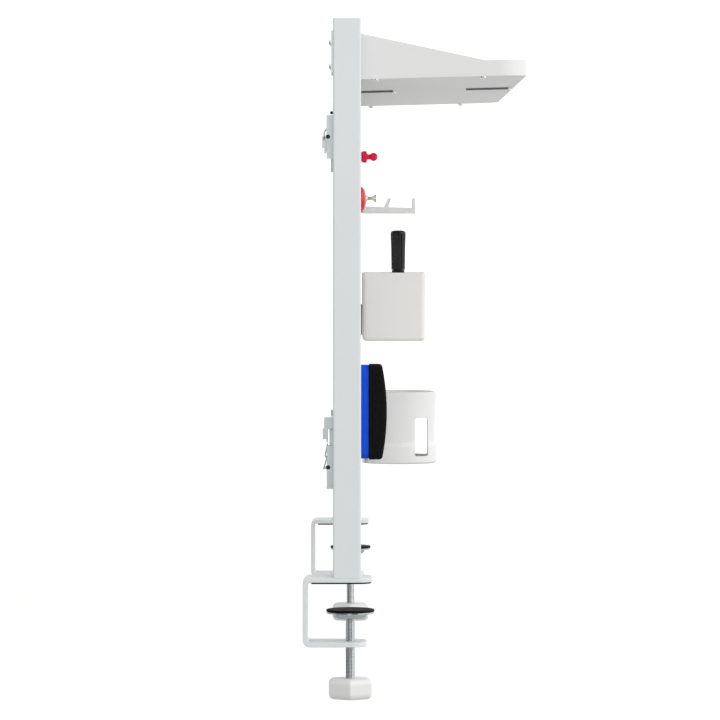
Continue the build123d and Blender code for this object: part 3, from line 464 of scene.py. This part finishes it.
# ---------------------------------------------------------------- welds
# A fillet weld behind the foot of each post, laid in overlapping ripples and painted over.
weld_low, weld_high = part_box("post_welds")
weld_leg, weld_rise = weld_high.y - weld_low.y, weld_high.z - weld_low.z
weld_length = 40.0 * mm
ripple_pitch, ripple_steps = 2.5 * mm, 6
welds = bmesh.new()
for side in ("left", "right"):
    start = Vector((middle(f"{side}_post").x - weld_length / 2, weld_low.y, weld_low.z))
    count = int(weld_length / ripple_pitch) * ripple_steps
    section = [(0, 0), (0.96, 0), (0.93, 0.28), (0.72, 0.55), (0.42, 0.8), (0.12, 0.97), (0, 0.97)]
    bead = [welds.verts.new(start + Vector((0, y * weld_leg, z * weld_rise))) for y, z in section]
    ring = [welds.edges.new(pair) for pair in zip(bead, bead[1:] + bead[:1])]
    welds.faces.new(bead)
    for step in range(1, count + 1):
        grown = bmesh.ops.extrude_edge_only(welds, edges=ring)["geom"]
        bead = [item for item in grown if isinstance(item, bmesh.types.BMVert)]
        ring = [item for item in grown if isinstance(item, bmesh.types.BMEdge)
                and all(vert in bead for vert in item.verts)]
        crown = 0.9 + 0.1 * abs(sin(pi * step / ripple_steps))
        before = 0.9 + 0.1 * abs(sin(pi * (step - 1) / ripple_steps))
        corner = Vector((start.x + weld_length * (step - 1) / count, start.y, start.z))
        bmesh.ops.scale(welds, verts=bead, vec=(1, crown / before, crown / before),
                        space=Matrix.Translation(-corner))
        bmesh.ops.translate(welds, verts=bead, vec=(weld_length / count, 0, 0))
    bmesh.ops.holes_fill(welds, edges=ring)
bmesh.ops.recalc_face_normals(welds, faces=welds.faces)
fit(welds, "post_weld_beads", "frame", "painted_steel", frame_coat, "post_welds", crease=60)

# ---------------------------------------------------------------- board
# A dry-wipe steel sheet enamelled white, glued over a fibreboard core in a box-section aluminium
# frame. A galvanised skin closes the back.
enamel = new_finish("dry_wipe_enamel", (0.80, 0.81, 0.81), 0.16)
enamel.node_tree.nodes["Principled BSDF"].inputs["Coat Weight"].default_value = 0.5
enamel.node_tree.nodes["Principled BSDF"].inputs["Coat Roughness"].default_value = 0.06
tint(enamel, grain(enamel, 6, 2.0), (0.79, 0.80, 0.80), (0.81, 0.82, 0.82))
relief(enamel, grain(enamel, 90, 2.0), 0.02 * mm, 0.5)
fit_softened("board_face_sheet", "enamelled", "frame", "board_enamel", enamel, 0.25 * mm)

fibre = new_finish("bare_fibreboard", (0.36, 0.24, 0.13), 0.9)
tint(fibre, grain(fibre, 900, 5.0), (0.26, 0.17, 0.09), (0.45, 0.32, 0.18))
relief(fibre, grain(fibre, 1500, 4.0), 0.2 * mm)
dress(fibre, "board_core")

galvanised = new_finish("galvanised_skin", (0.50, 0.52, 0.53), 0.42, 1.0)
spangle = galvanised.node_tree.nodes.new("ShaderNodeTexVoronoi")
spangle.inputs["Scale"].default_value = 95.0
spangle_place = galvanised.node_tree.nodes.new("ShaderNodeTexCoord")
galvanised.node_tree.links.new(spangle_place.outputs["Object"], spangle.inputs["Vector"])
tint(galvanised, spangle.outputs["Color"], (0.48, 0.50, 0.51), (0.56, 0.58, 0.59), 0.1, 0.9)
sheen_change(galvanised, spangle.outputs["Color"], 0.4, 0.48)
dress(galvanised, "board_back_skin")


def brushed(name, colour, stretch, low, high):
    """Satin metal with fine lines along the direction that stretch squeezes."""
    metal = new_finish(name, colour, 0.3, 1.0)
    lines = grain(metal, 1400, 3.0, stretch)
    tint(metal, lines, shaded(colour, 0.93), shaded(colour, 1.06))
    sheen_change(metal, lines, low, high)
    relief(metal, lines, 0.02 * mm, 0.5)
    return metal


rail_grey = (0.62, 0.63, 0.64)
cross_rail = brushed("anodised_cross_rail", rail_grey, (0.02, 1, 1), 0.28, 0.42)
upright_rail = brushed("anodised_upright_rail", rail_grey, (1, 1, 0.02), 0.28, 0.42)
for node, finish in (("board_top_rail", cross_rail), ("board_bottom_rail", cross_rail),
                     ("board_side_rails", upright_rail)):
    fit_softened(node, "extrusion", "frame", "aluminium_rail", finish, 0.5 * mm)
fit_softened("board_rest_brackets", "angles", "frame", "zinc_steel", zinc, 0.4 * mm)

# ---------------------------------------------------------------- shelf
# 1.5 mm sheet steel: a floor plate screwed up into a folded rim whose ends are rounded in plan and
# slope down to a low front lip, and a back plate. All are powder coated in a neutral pale grey.
shelf_grey = (0.685, 0.685, 0.685)
shelf_coat = powder_coat("shelf_powder_coat", shelf_grey)
for node in ("shelf_floor", "shelf_rim", "shelf_back_plate"):
    fit_softened(node, "sheet", "frame", "painted_steel", shelf_coat, 0.45 * mm, 2, 35)
# the stiffener bars' dark grey is painted shade, standing in for the shadow under the shelf floor
bars_painted_shade = brushed("bars_painted_shade", (0.20, 0.23, 0.25), (1, 0.03, 1), 0.3, 0.45)
fit_softened("shelf_stiffener_bars", "flats", "frame", "painted_steel", bars_painted_shade, 0.4 * mm)


# ---------------------------------------------------------------- screws under the shelf
# Pan-head machine screws with a cross recess, nickel plated: four hold the floor plate to the rim
# and two hold the outer ends of the stiffener bars.
def add_head(parts, centre, direction, radius, height, recess_radius, sides, star, sink):
    """Domed screw head with a recess: star narrows every other corner of the recess ring."""
    head = bmesh.new()
    dome = [(radius, 0), (radius, 0.3 * height), (0.95 * radius, 0.62 * height),
            (0.8 * radius, 0.88 * height), (0.6 * radius, height)]
    line = [head.verts.new((reach, 0, level)) for reach, level in dome]
    edges = [head.edges.new(pair) for pair in zip(line, line[1:])]
    bmesh.ops.spin(head, geom=line + edges, cent=(0, 0, 0), axis=(0, 0, 1), angle=2 * pi,
                   steps=24, use_merge=True)
    bmesh.ops.remove_doubles(head, verts=head.verts, dist=1e-6)
    open_edges = [edge for edge in head.edges if edge.is_boundary]
    top_ring = [edge for edge in open_edges if edge.verts[0].co.z > 0.5 * height]
    foot_ring = [edge for edge in open_edges if edge.verts[0].co.z < 0.5 * height]
    recess = bmesh.ops.create_circle(head, cap_ends=False, radius=recess_radius, segments=sides,
                                     matrix=Matrix.Translation((0, 0, height)))["verts"]
    for corner in recess[1::2]:
        corner.co.x *= star
        corner.co.y *= star
    recess_ring = list({edge for vert in recess for edge in vert.link_edges})
    bmesh.ops.bridge_loops(head, edges=top_ring + recess_ring)
    sunk = bmesh.ops.extrude_edge_only(head, edges=recess_ring)["geom"]
    sunk_verts = [item for item in sunk if isinstance(item, bmesh.types.BMVert)]
    bmesh.ops.translate(head, verts=sunk_verts, vec=(0, 0, -sink))
    sunk_ring = [item for item in sunk if isinstance(item, bmesh.types.BMEdge)
                 and all(vert in sunk_verts for vert in item.verts)]
    bmesh.ops.edgeloop_fill(head, edges=sunk_ring)
    bmesh.ops.edgeloop_fill(head, edges=foot_ring)
    bmesh.ops.recalc_face_normals(head, faces=head.faces)
    stand(head, centre, direction)
    add_shape(parts, head)


def add_shape(parts, shape):
    """Adds one bmesh to another and frees it."""
    carrier = bpy.data.meshes.new("carrier")
    shape.to_mesh(carrier)
    shape.free()
    parts.from_mesh(carrier)
    bpy.data.meshes.remove(carrier)


def islands(node):
    """Lowest and highest corner of each separate solid of a node."""
    shape = merged_copy(node)
    unseen = set(shape.verts)
    found = []
    while unseen:
        ready = [unseen.pop()]
        solid = []
        while ready:
            vert = ready.pop()
            solid.append(vert.co.copy())
            for edge in vert.link_edges:
                other = edge.other_vert(vert)
                if other in unseen:
                    unseen.remove(other)
                    ready.append(other)
        found.append((Vector([min(co[axis] for co in solid) for axis in range(3)]),
                      Vector([max(co[axis] for co in solid) for axis in range(3)])))
    shape.free()
    return sorted(found, key=lambda box: tuple(round(value, 4) for value in box[0]))


nickel = new_finish("bright_nickel", (0.86, 0.86, 0.85), 0.1, 1.0)
tint(nickel, grain(nickel, 300, 3.0), (0.80, 0.80, 0.79), (0.88, 0.88, 0.87))
relief(nickel, grain(nickel, 2500, 2.0), 0.01 * mm, 0.3)
tilt = radians(1.5)
shelf_down = Vector((0, -sin(tilt), -cos(tilt)))
pan_height, bar_head_height = 2.8 * mm, 2.2 * mm
shelf_heads = bmesh.new()
for low, high in islands("shelf_screws"):
    centre = (low + high) / 2
    radius = (high.x - low.x) / 2
    height = pan_height if radius > 3.2 * mm else bar_head_height
    tip = Vector((centre.x, centre.y, low.z + radius * sin(tilt)))
    add_head(shelf_heads, tip - shelf_down * height, shelf_down, radius, height,
             0.42 * radius, 8, 0.38, 0.45 * height)
fit(shelf_heads, "shelf_screw_heads", "frame", "bright_steel", nickel, "shelf_screws", crease=45)

# ---------------------------------------------------------------- backing plates and shelf bolts
# Two M4 bolts a side pass through a plate, the post, a sleeve inside the post and the shelf's back
# plate into nuts. The bolts have low domed heads with a hexagon socket.
fit_softened("shelf_backing_plates", "plates", "frame", "painted_steel", frame_coat, 0.35 * mm)
# black for the rivet heads, a painted reflection of dark surroundings in bright metal
rivet_black_painted_reflection = new_finish("rivet_black_painted_reflection", (0.012, 0.013, 0.014), 0.3, 0.3)
tint(rivet_black_painted_reflection, grain(rivet_black_painted_reflection, 400, 3.0), (0.008, 0.009, 0.010), (0.016, 0.017, 0.019))
sheen_change(rivet_black_painted_reflection, grain(rivet_black_painted_reflection, 400, 3.0), 0.22, 0.4)
shank_radius, point, socket_radius, socket_depth = 2.0 * mm, 0.5 * mm, 1.7 * mm, 1.4 * mm
bolt_parts = bmesh.new()
back_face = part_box("shelf_backing_plates")[1].y
for low, high in islands("shelf_bolts"):
    centre = (low + high) / 2
    radius = (high.x - low.x) / 2
    shank = lathe([(0, low.y), (shank_radius - point, low.y), (shank_radius, low.y + point),
                   (shank_radius, back_face), (0, back_face)], 20)
    bmesh.ops.rotate(shank, verts=shank.verts, cent=(0, 0, 0), matrix=Matrix.Rotation(radians(-90), 3, "X"))
    bmesh.ops.translate(shank, verts=shank.verts, vec=(centre.x, 0, centre.z))
    add_shape(bolt_parts, shank)
    add_head(bolt_parts, (centre.x, back_face, centre.z), (0, 1, 0), radius, high.y - back_face,
             socket_radius, 6, 1.0, socket_depth)
fit(bolt_parts, "shelf_bolt_heads", "frame", "zinc_steel", nickel, "shelf_bolts", crease=45)
fit_softened("shelf_nuts", "hexagons", "frame", "zinc_steel", zinc, 0.35 * mm)
dress(zinc, "bolt_sleeves")

# ---------------------------------------------------------------- catches
# Pressed and zinc-plated fittings that hold the board to the posts: channels screwed behind the
# posts, a toggle lever above and a spring wire below on the left, and keepers screwed to the board.
plated = new_finish("dull_zinc_pressing", (0.56, 0.60, 0.62), 0.42, 1.0)
plated_clouds = grain(plated, 120, 4.0)
tint(plated, plated_clouds, (0.70, 0.745, 0.765), (0.74, 0.785, 0.805))
sheen_change(plated, plated_clouds, 0.36, 0.5)
relief(plated, grain(plated, 1500, 2.0), 0.02 * mm, 0.4)
fit_softened("catch_bases", "channels", "frame", "zinc_steel", plated, 0.25 * mm)
fit_softened("catch_keepers", "pressings", "frame", "zinc_steel", plated, 0.35 * mm)
fit_softened("upper_left_catch_lever", "casting", "upper_left_lever", "zinc_steel", plated, 0.4 * mm)

wire = brushed("drawn_wire", (0.56, 0.58, 0.60), (1, 1, 0.1), 0.22, 0.34)
dress(wire, "upper_left_catch_bail", "lower_left_catch_bail")

# rivets through the catches, with domed heads whose black is a painted reflection: it stands in for the
# dark that their bright metal mirrors
pin_parts = bmesh.new()
for low, high in islands("catch_pins"):
    centre = (low + high) / 2
    half, shaft, head, thick = (high.x - low.x) / 2, 1.5 * mm, 2.3 * mm, 0.8 * mm
    profile = [(0, half), (0.55 * head, half - 0.1 * mm), (0.9 * head, half - 0.4 * mm),
               (head, half - thick), (shaft, half - thick)]
    profile += [(radius, -height) for radius, height in reversed(profile)]
    rivet = lathe(profile, 24)
    stand(rivet, centre, (1, 0, 0))
    add_shape(pin_parts, rivet)
fit(pin_parts, "catch_rivets", "frame", "dark_steel", rivet_black_painted_reflection, "catch_pins", crease=50)

# round-headed rubber stops above the upper channels
fit_softened("stop_studs", "turned", "frame", "black_rubber", rubber, 0.2 * mm)

# small cross-head screws and rivets of the bases, the tabs and the rest brackets
small_parts = bmesh.new()
for low, high in islands("small_screws"):
    centre, size = (low + high) / 2, high - low
    if size.x < size.z * 0.8:
        inner = 1 if centre.x < 0 else -1
        face = low.x if inner > 0 else high.x
        add_head(small_parts, (face, centre.y, centre.z), (inner, 0, 0), size.z / 2, size.x,
                 0.4 * size.z / 2, 8, 0.4, 0.9 * mm)
    else:
        add_head(small_parts, (centre.x, low.y, centre.z), (0, 1, 0), size.z / 2, size.y,
                 0.4 * size.z / 2, 8, 0.4, 0.7 * mm)
fit(small_parts, "small_screw_heads", "frame", "zinc_steel", zinc, "small_screws", crease=45)

# ---------------------------------------------------------------- pen cup
# Pressed and painted cup with walls that flare by half a millimetre, rounded corners, a rounded
# foot and a smooth rim. A magnetic rubber sheet is glued to its back.
cup_low, cup_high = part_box("pen_cup")
cup_size = cup_high - cup_low
cup_centre = (cup_low + cup_high) / 2
cup_taper, cup_corner, cup_foot, cup_wall, cup_lip = 0.975, 6.0 * mm, 4.4 * mm, 2.0 * mm, 0.8 * mm
cup = bmesh.new()
bmesh.ops.create_cube(cup, size=1.0)
bmesh.ops.scale(cup, verts=cup.verts, vec=cup_size)
foot = [vert for vert in cup.verts if vert.co.z < 0]
bmesh.ops.scale(cup, verts=foot, vec=(cup_taper, 0.986, 1))
mouth = [face for face in cup.faces if face.normal.z > 0.9]
bmesh.ops.delete(cup, geom=mouth, context="FACES_ONLY")
upright = [edge for edge in cup.edges
           if abs(edge.verts[0].co.z - edge.verts[1].co.z) > 0.5 * cup_size.z]
bmesh.ops.bevel(cup, geom=upright, offset=cup_corner, offset_type="OFFSET", segments=6,
                profile=0.5, affect="EDGES", material=-1)
base = min(cup.faces, key=lambda face: face.calc_center_median().z)
bmesh.ops.bevel(cup, geom=base.edges[:], offset=cup_foot, offset_type="OFFSET", segments=5,
                profile=0.5, affect="EDGES", material=-1)
bmesh.ops.recalc_face_normals(cup, faces=cup.faces)
bmesh.ops.solidify(cup, geom=cup.faces[:], thickness=cup_wall)
rim_level = max(vert.co.z for vert in cup.verts)
lip = [edge for edge in cup.edges if all(vert.co.z > rim_level - 0.02 * mm for vert in edge.verts)
       and edge.calc_face_angle(0) > radians(40)]
bmesh.ops.bevel(cup, geom=lip, offset=cup_lip, offset_type="OFFSET", segments=3, profile=0.5,
                affect="EDGES", material=-1)
bmesh.ops.translate(cup, verts=cup.verts, vec=cup_centre)
cup_cream = (0.758, 0.747, 0.731)
cup_paint = new_finish("cup_satin_paint", cup_cream, 0.38)
tint(cup_paint, grain(cup_paint, 20, 2.0), shaded(cup_cream, 0.993), shaded(cup_cream, 1.007))
relief(cup_paint, grain(cup_paint, 700, 2.0), 0.02 * mm, 0.3)
fit(cup, "pen_cup_shell", "pen_cup", "white_plastic", cup_paint, "pen_cup")

magnet_rubber = new_finish("magnetic_rubber", (0.022, 0.022, 0.024), 0.7)
magnet_lines = grain(magnet_rubber, 420, 2.0, (1, 1, 0.04))
tint(magnet_rubber, magnet_lines, (0.015, 0.015, 0.016), (0.032, 0.031, 0.03))
relief(magnet_rubber, magnet_lines, 0.05 * mm)
for node, body in (("pen_cup_magnet", "pen_cup"), ("cup_holder_magnet", "cup_holder"),
                   ("double_hook_magnet", "double_hook")):
    fit_softened(node, "sheet", body, "magnet_strip", magnet_rubber, 0.3 * mm)


# ---------------------------------------------------------------- marker
# Whiteboard marker standing cap up: a plain moulded barrel and a tall fluted cap that flares to a
# flat top, both in glossy black plastic, over a felt tip.
def fluted(levels, flutes, groove):
    """Stack of rings of (height, radius, groove factor), scalloped into flutes."""
    shape = bmesh.new()
    ring_verts = bmesh.ops.create_circle(shape, cap_ends=False, radius=1.0, segments=flutes * 4)["verts"]
    directions = [vert.co.copy() for vert in ring_verts]
    ring = list({edge for vert in ring_verts for edge in vert.link_edges})
    first = True
    for height, radius, factor in levels:
        if not first:
            grown = bmesh.ops.extrude_edge_only(shape, edges=ring)["geom"]
            fresh = [item for item in grown if isinstance(item, bmesh.types.BMVert)]
            ring = [item for item in grown if isinstance(item, bmesh.types.BMEdge)
                    and all(vert in fresh for vert in item.verts)]
            ring_verts = [min(fresh, key=lambda vert: (vert.co.xy - old.co.xy).length)
                          for old in ring_verts]
        for number, (vert, way) in enumerate(zip(ring_verts, directions)):
            dip = groove * factor if number % 4 in (2, 3) else 0.0
            vert.co = Vector((way.x * (radius - dip), way.y * (radius - dip), height))
        first = False
    bmesh.ops.edgeloop_fill(shape, edges=[edge for edge in shape.edges if edge.is_boundary])
    bmesh.ops.recalc_face_normals(shape, faces=shape.faces)
    return shape


gloss_black = new_finish("gloss_black_plastic", (0.004, 0.004, 0.004), 0.22)
less_shine(gloss_black, 0.3)
tint(gloss_black, grain(gloss_black, 60, 2.0), (0.003, 0.003, 0.003), (0.005, 0.005, 0.005))
sheen_change(gloss_black, grain(gloss_black, 500, 2.0), 0.1, 0.2)
cap_low, cap_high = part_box("marker_cap")
barrel_low, barrel_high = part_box("marker_barrel")
cap_middle, barrel_middle = middle("marker_cap"), middle("marker_barrel")
cap_radius, cap_length = (cap_high.x - cap_low.x) / 2, cap_high.z - cap_low.z
cap_levels = [(0, 0.885 * cap_radius, 0), (0.3 * mm, 0.9 * cap_radius, 0), (1.5 * mm, 0.9 * cap_radius, 0),
              (2.0 * mm, 0.89 * cap_radius, 1), (0.55 * cap_length, 0.93 * cap_radius, 1),
              (cap_length - 6 * mm, 0.99 * cap_radius, 1), (cap_length - 4.2 * mm, cap_radius, 0.4),
              (cap_length - 3.4 * mm, cap_radius, 0), (cap_length - 2.0 * mm, 0.965 * cap_radius, 0),
              (cap_length - 0.9 * mm, 0.84 * cap_radius, 0), (cap_length - 0.25 * mm, 0.62 * cap_radius, 0),
              (cap_length, 0.3 * cap_radius, 0)]
marker_top = fluted(cap_levels, 18, 0.55 * mm)
stand(marker_top, (cap_middle.x, cap_middle.y, cap_low.z))
fit(marker_top, "marker_fluted_cap", "marker_cap", "marker_black", gloss_black, "marker_cap", crease=50)

barrel_radius = (barrel_high.x - barrel_low.x) / 2
barrel_body = cap_low.z - 0.3 * mm - barrel_low.z
neck_radius, tip_radius = 5.6 * mm, 3.2 * mm
barrel_length = barrel_high.z - barrel_low.z
barrel = lathe([(0, 0.8 * mm), (0.5 * barrel_radius, 0.8 * mm), (0.55 * barrel_radius, 0)]
               + round_corner((barrel_radius - 1.2 * mm, 1.2 * mm), 1.2 * mm, -90, 0)
               + [(barrel_radius, 0.4 * barrel_body), (barrel_radius - 0.15 * mm, 0.42 * barrel_body),
                  (barrel_radius - 0.15 * mm, 0.88 * barrel_body), (barrel_radius, 0.9 * barrel_body),
                  (barrel_radius, barrel_body - 0.3 * mm), (barrel_radius - 0.3 * mm, barrel_body),
                  (neck_radius, barrel_body), (neck_radius, barrel_length - 6 * mm),
                  (tip_radius + 0.6 * mm, barrel_length - 1.5 * mm), (tip_radius, barrel_length),
                  (0, barrel_length)], 48)
stand(barrel, (barrel_middle.x, barrel_middle.y, barrel_low.z))
fit(barrel, "marker_body", "marker", "marker_black", gloss_black, "marker_barrel")
felt_tip = new_finish("marker_felt", (0.02, 0.02, 0.022), 0.95)
tint(felt_tip, grain(felt_tip, 3000, 3.0), (0.012, 0.012, 0.014), (0.035, 0.035, 0.038))
relief(felt_tip, grain(felt_tip, 3500, 3.0), 0.1 * mm)
dress(felt_tip, "marker_tip")

# ---------------------------------------------------------------- cup holder
# The pressed steel cup holder: a round wall on a wider stepped base, cut off flat at the board,
# with a tall rounded window on each side, painted like the pen cup.
holder_grey = (0.73, 0.73, 0.73)
holder_paint = new_finish("holder_satin_paint", holder_grey, 0.36)
tint(holder_paint, grain(holder_paint, 20, 2.0), shaded(holder_grey, 0.995), shaded(holder_grey, 1.005))
relief(holder_paint, grain(holder_paint, 700, 2.0), 0.02 * mm, 0.3)
fit_softened("cup_holder", "shell", "cup_holder", "white_plastic", holder_paint, 0.5 * mm, 3, 32)

# ---------------------------------------------------------------- double hook
# One strip of steel folded into an arm with two upturned prongs, painted like the cups.
fit_softened("double_hook", "strip", "double_hook", "white_plastic", holder_paint, 0.7 * mm, 3)


# ---------------------------------------------------------------- push pin
# Magnetic push pin: a nickel-plated magnet in the foot of a turned grip with a waist and a ball
# end, in glossy crimson plastic.
def gloss_plastic(name, colour, clearness):
    """Glossy coloured plastic that lets some light through."""
    plastic = new_finish(name, colour, 0.18)
    shader = plastic.node_tree.nodes["Principled BSDF"]
    shader.inputs["Transmission Weight"].default_value = clearness
    shader.inputs["IOR"].default_value = 1.49
    tint(plastic, grain(plastic, 60, 2.0), shaded(colour, 0.94), shaded(colour, 1.06))
    sheen_change(plastic, grain(plastic, 400, 2.0), 0.12, 0.24)
    return plastic


def turned_grip(node, profile, steps=48):
    """Turns a profile of (radius, distance out) about the node's axis, which points at -Y."""
    low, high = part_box(node)
    centre = (low + high) / 2
    shape = lathe(profile, steps)
    stand(shape, (centre.x, high.y, centre.z), (0, -1, 0))
    return shape


crimson = gloss_plastic("crimson_gloss", (0.92, 0.008, 0.07), 0.0)
less_shine(crimson, 0.3)
grip_low, grip_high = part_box("push_pin_grip")
grip_long = grip_high.y - grip_low.y
foot_radius = (grip_high.x - grip_low.x) / 2
foot_top, foot_edge, ball_radius = 4.9 * mm, 0.5 * mm, 4.85 * mm
waist = 0.44 * foot_radius
pin_profile = [(0, 0), (foot_radius - 0.6 * mm, 0), (foot_radius, 0.6 * mm), (foot_radius, foot_top)]
pin_profile += round_corner((foot_radius - foot_edge, foot_top), foot_edge, 15, 90, 3)
pin_profile += [(0.76 * foot_radius, 5.6 * mm), (0.49 * foot_radius, 6.6 * mm), (waist, 7.6 * mm),
                (waist, 8.8 * mm), (0.49 * foot_radius, 9.8 * mm)]
ball = round_corner((0, grip_long - ball_radius), ball_radius, -38, 90, 12)
pin_profile += ball[:-1] + [(0, grip_long)]
push_pin = turned_grip("push_pin_grip", pin_profile)
fit(push_pin, "push_pin_turned", "push_pin", "crimson_plastic", crimson, "push_pin_grip", crease=50)

plate_nickel = brushed("magnet_nickel", (0.60, 0.60, 0.59), (1, 1, 1), 0.16, 0.3)
fit_softened("push_pin_magnet", "disc", "push_pin", "magnet_disc", plate_nickel, 0.3 * mm)

# ---------------------------------------------------------------- button magnet
# A lens-shaped cover in clear red plastic over a disc magnet, with a rounded rim.
red = gloss_plastic("clear_red", (0.95, 0.02, 0.06), 0.4)
cover_low, cover_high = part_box("button_magnet_cover")
cover_long, cover_radius = cover_high.y - cover_low.y, (cover_high.x - cover_low.x) / 2
well_radius, well_depth = 10.0 * mm, 2.2 * mm
cover_profile = [(0, well_depth), (well_radius, well_depth), (well_radius, 0), (cover_radius - 0.3 * mm, 0),
                 (cover_radius, 0.3 * mm), (cover_radius, 0.13 * cover_long),
                 (0.985 * cover_radius, 0.22 * cover_long), (0.935 * cover_radius, 0.38 * cover_long),
                 (0.81 * cover_radius, 0.62 * cover_long), (0.61 * cover_radius, 0.83 * cover_long),
                 (0.36 * cover_radius, 0.95 * cover_long), (0.15 * cover_radius, 0.995 * cover_long),
                 (0, cover_long)]
button = turned_grip("button_magnet_cover", cover_profile, 64)
fit(button, "button_cover_moulding", "button_magnet", "red_plastic", red, "button_magnet_cover", crease=50)
fit_softened("button_magnet_disc", "disc", "button_magnet", "magnet_disc", plate_nickel, 0.3 * mm)

# ---------------------------------------------------------------- steel pin magnet
# A turned and polished steel pin with a conical foot, a slim stem and a flat head, faintly gold.
pin_steel = new_finish("polished_steel", (0.72, 0.66, 0.56), 0.12, 1.0)
tint(pin_steel, grain(pin_steel, 200, 3.0), (0.66, 0.60, 0.50), (0.78, 0.72, 0.62))
sheen_change(pin_steel, grain(pin_steel, 900, 2.0), 0.08, 0.2)
steel_low, steel_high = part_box("steel_pin_magnet")
steel_radius, steel_long = (steel_high.x - steel_low.x) / 2, steel_high.y - steel_low.y
edge, stem, head = 0.3 * mm, 0.45 * steel_radius, 0.98 * steel_radius
steel_profile = [(0, 0), (steel_radius - edge, 0), (steel_radius, edge), (steel_radius, 6.2 * mm),
                 (0.94 * steel_radius, 6.6 * mm), (0.64 * steel_radius, 8.2 * mm),
                 (0.46 * steel_radius, 9.3 * mm), (stem, 14 * mm), (0.64 * steel_radius, 15.6 * mm),
                 (0.9 * steel_radius, 16.8 * mm), (head, 17.3 * mm), (head, steel_long - 0.6 * mm),
                 (0.9 * steel_radius, steel_long - 0.15 * mm), (0, steel_long)]
steel_pin = turned_grip("steel_pin_magnet", steel_profile)
fit(steel_pin, "steel_pin_turned", "steel_pin", "bright_steel", pin_steel, "steel_pin_magnet", crease=35)

# ---------------------------------------------------------------- eraser
# A block of blue felt that wipes the board, with a magnet let into it, under a domed grip of
# coarse black foam whose cut edge stands a little proud all round.
blue = (0.012, 0.085, 0.70)
felt = new_finish("blue_felt", blue, 0.9)
less_shine(felt, 0.05)
fibres = grain(felt, 2600, 4.0)
tint(felt, fibres, shaded(blue, 0.88), shaded(blue, 1.12))
relief(felt, fibres, 0.15 * mm)
fit_softened("eraser_felt", "block", "eraser", "blue_felt", felt, 1.0 * mm, 4)
fit_softened("eraser_magnet", "slab", "eraser", "magnet_strip", magnet_rubber, 0.3 * mm)

foam = new_finish("black_foam", (0.004, 0.004, 0.004), 0.9)
less_shine(foam, 0.1)
pores = grain(foam, 1100, 5.0)
tint(foam, pores, (0.002, 0.002, 0.002), (0.009, 0.009, 0.009))
relief(foam, pores, 0.6 * mm)
grip = merged_copy("eraser_grip")
soften(grip, 0.6 * mm, 2, 50)
grip_low, grip_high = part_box("eraser_grip")
for axis, cuts in ((0, 24), (1, 10), (2, 48)):
    for level in range(1, cuts):
        cut = grip_low[axis] + (grip_high[axis] - grip_low[axis]) * level / cuts
        bmesh.ops.bisect_plane(grip, geom=grip.verts[:] + grip.edges[:] + grip.faces[:],
                               plane_co=[cut if way == axis else 0 for way in range(3)],
                               plane_no=[1 if way == axis else 0 for way in range(3)])
grip.normal_update()
lump_scale, pit_scale, roughness = 420, 1100, 0.55 * mm
glued_face = grip_high.y - 0.5 * mm
for vert in grip.verts:
    rough = noise.noise(vert.co * lump_scale) + 0.6 * noise.noise(vert.co * pit_scale)
    if vert.co.y < glued_face:
        vert.co -= vert.normal * abs(rough) * roughness
fit(grip, "eraser_grip_foam", "eraser", "black_foam", foam, "eraser_grip", crease=70)
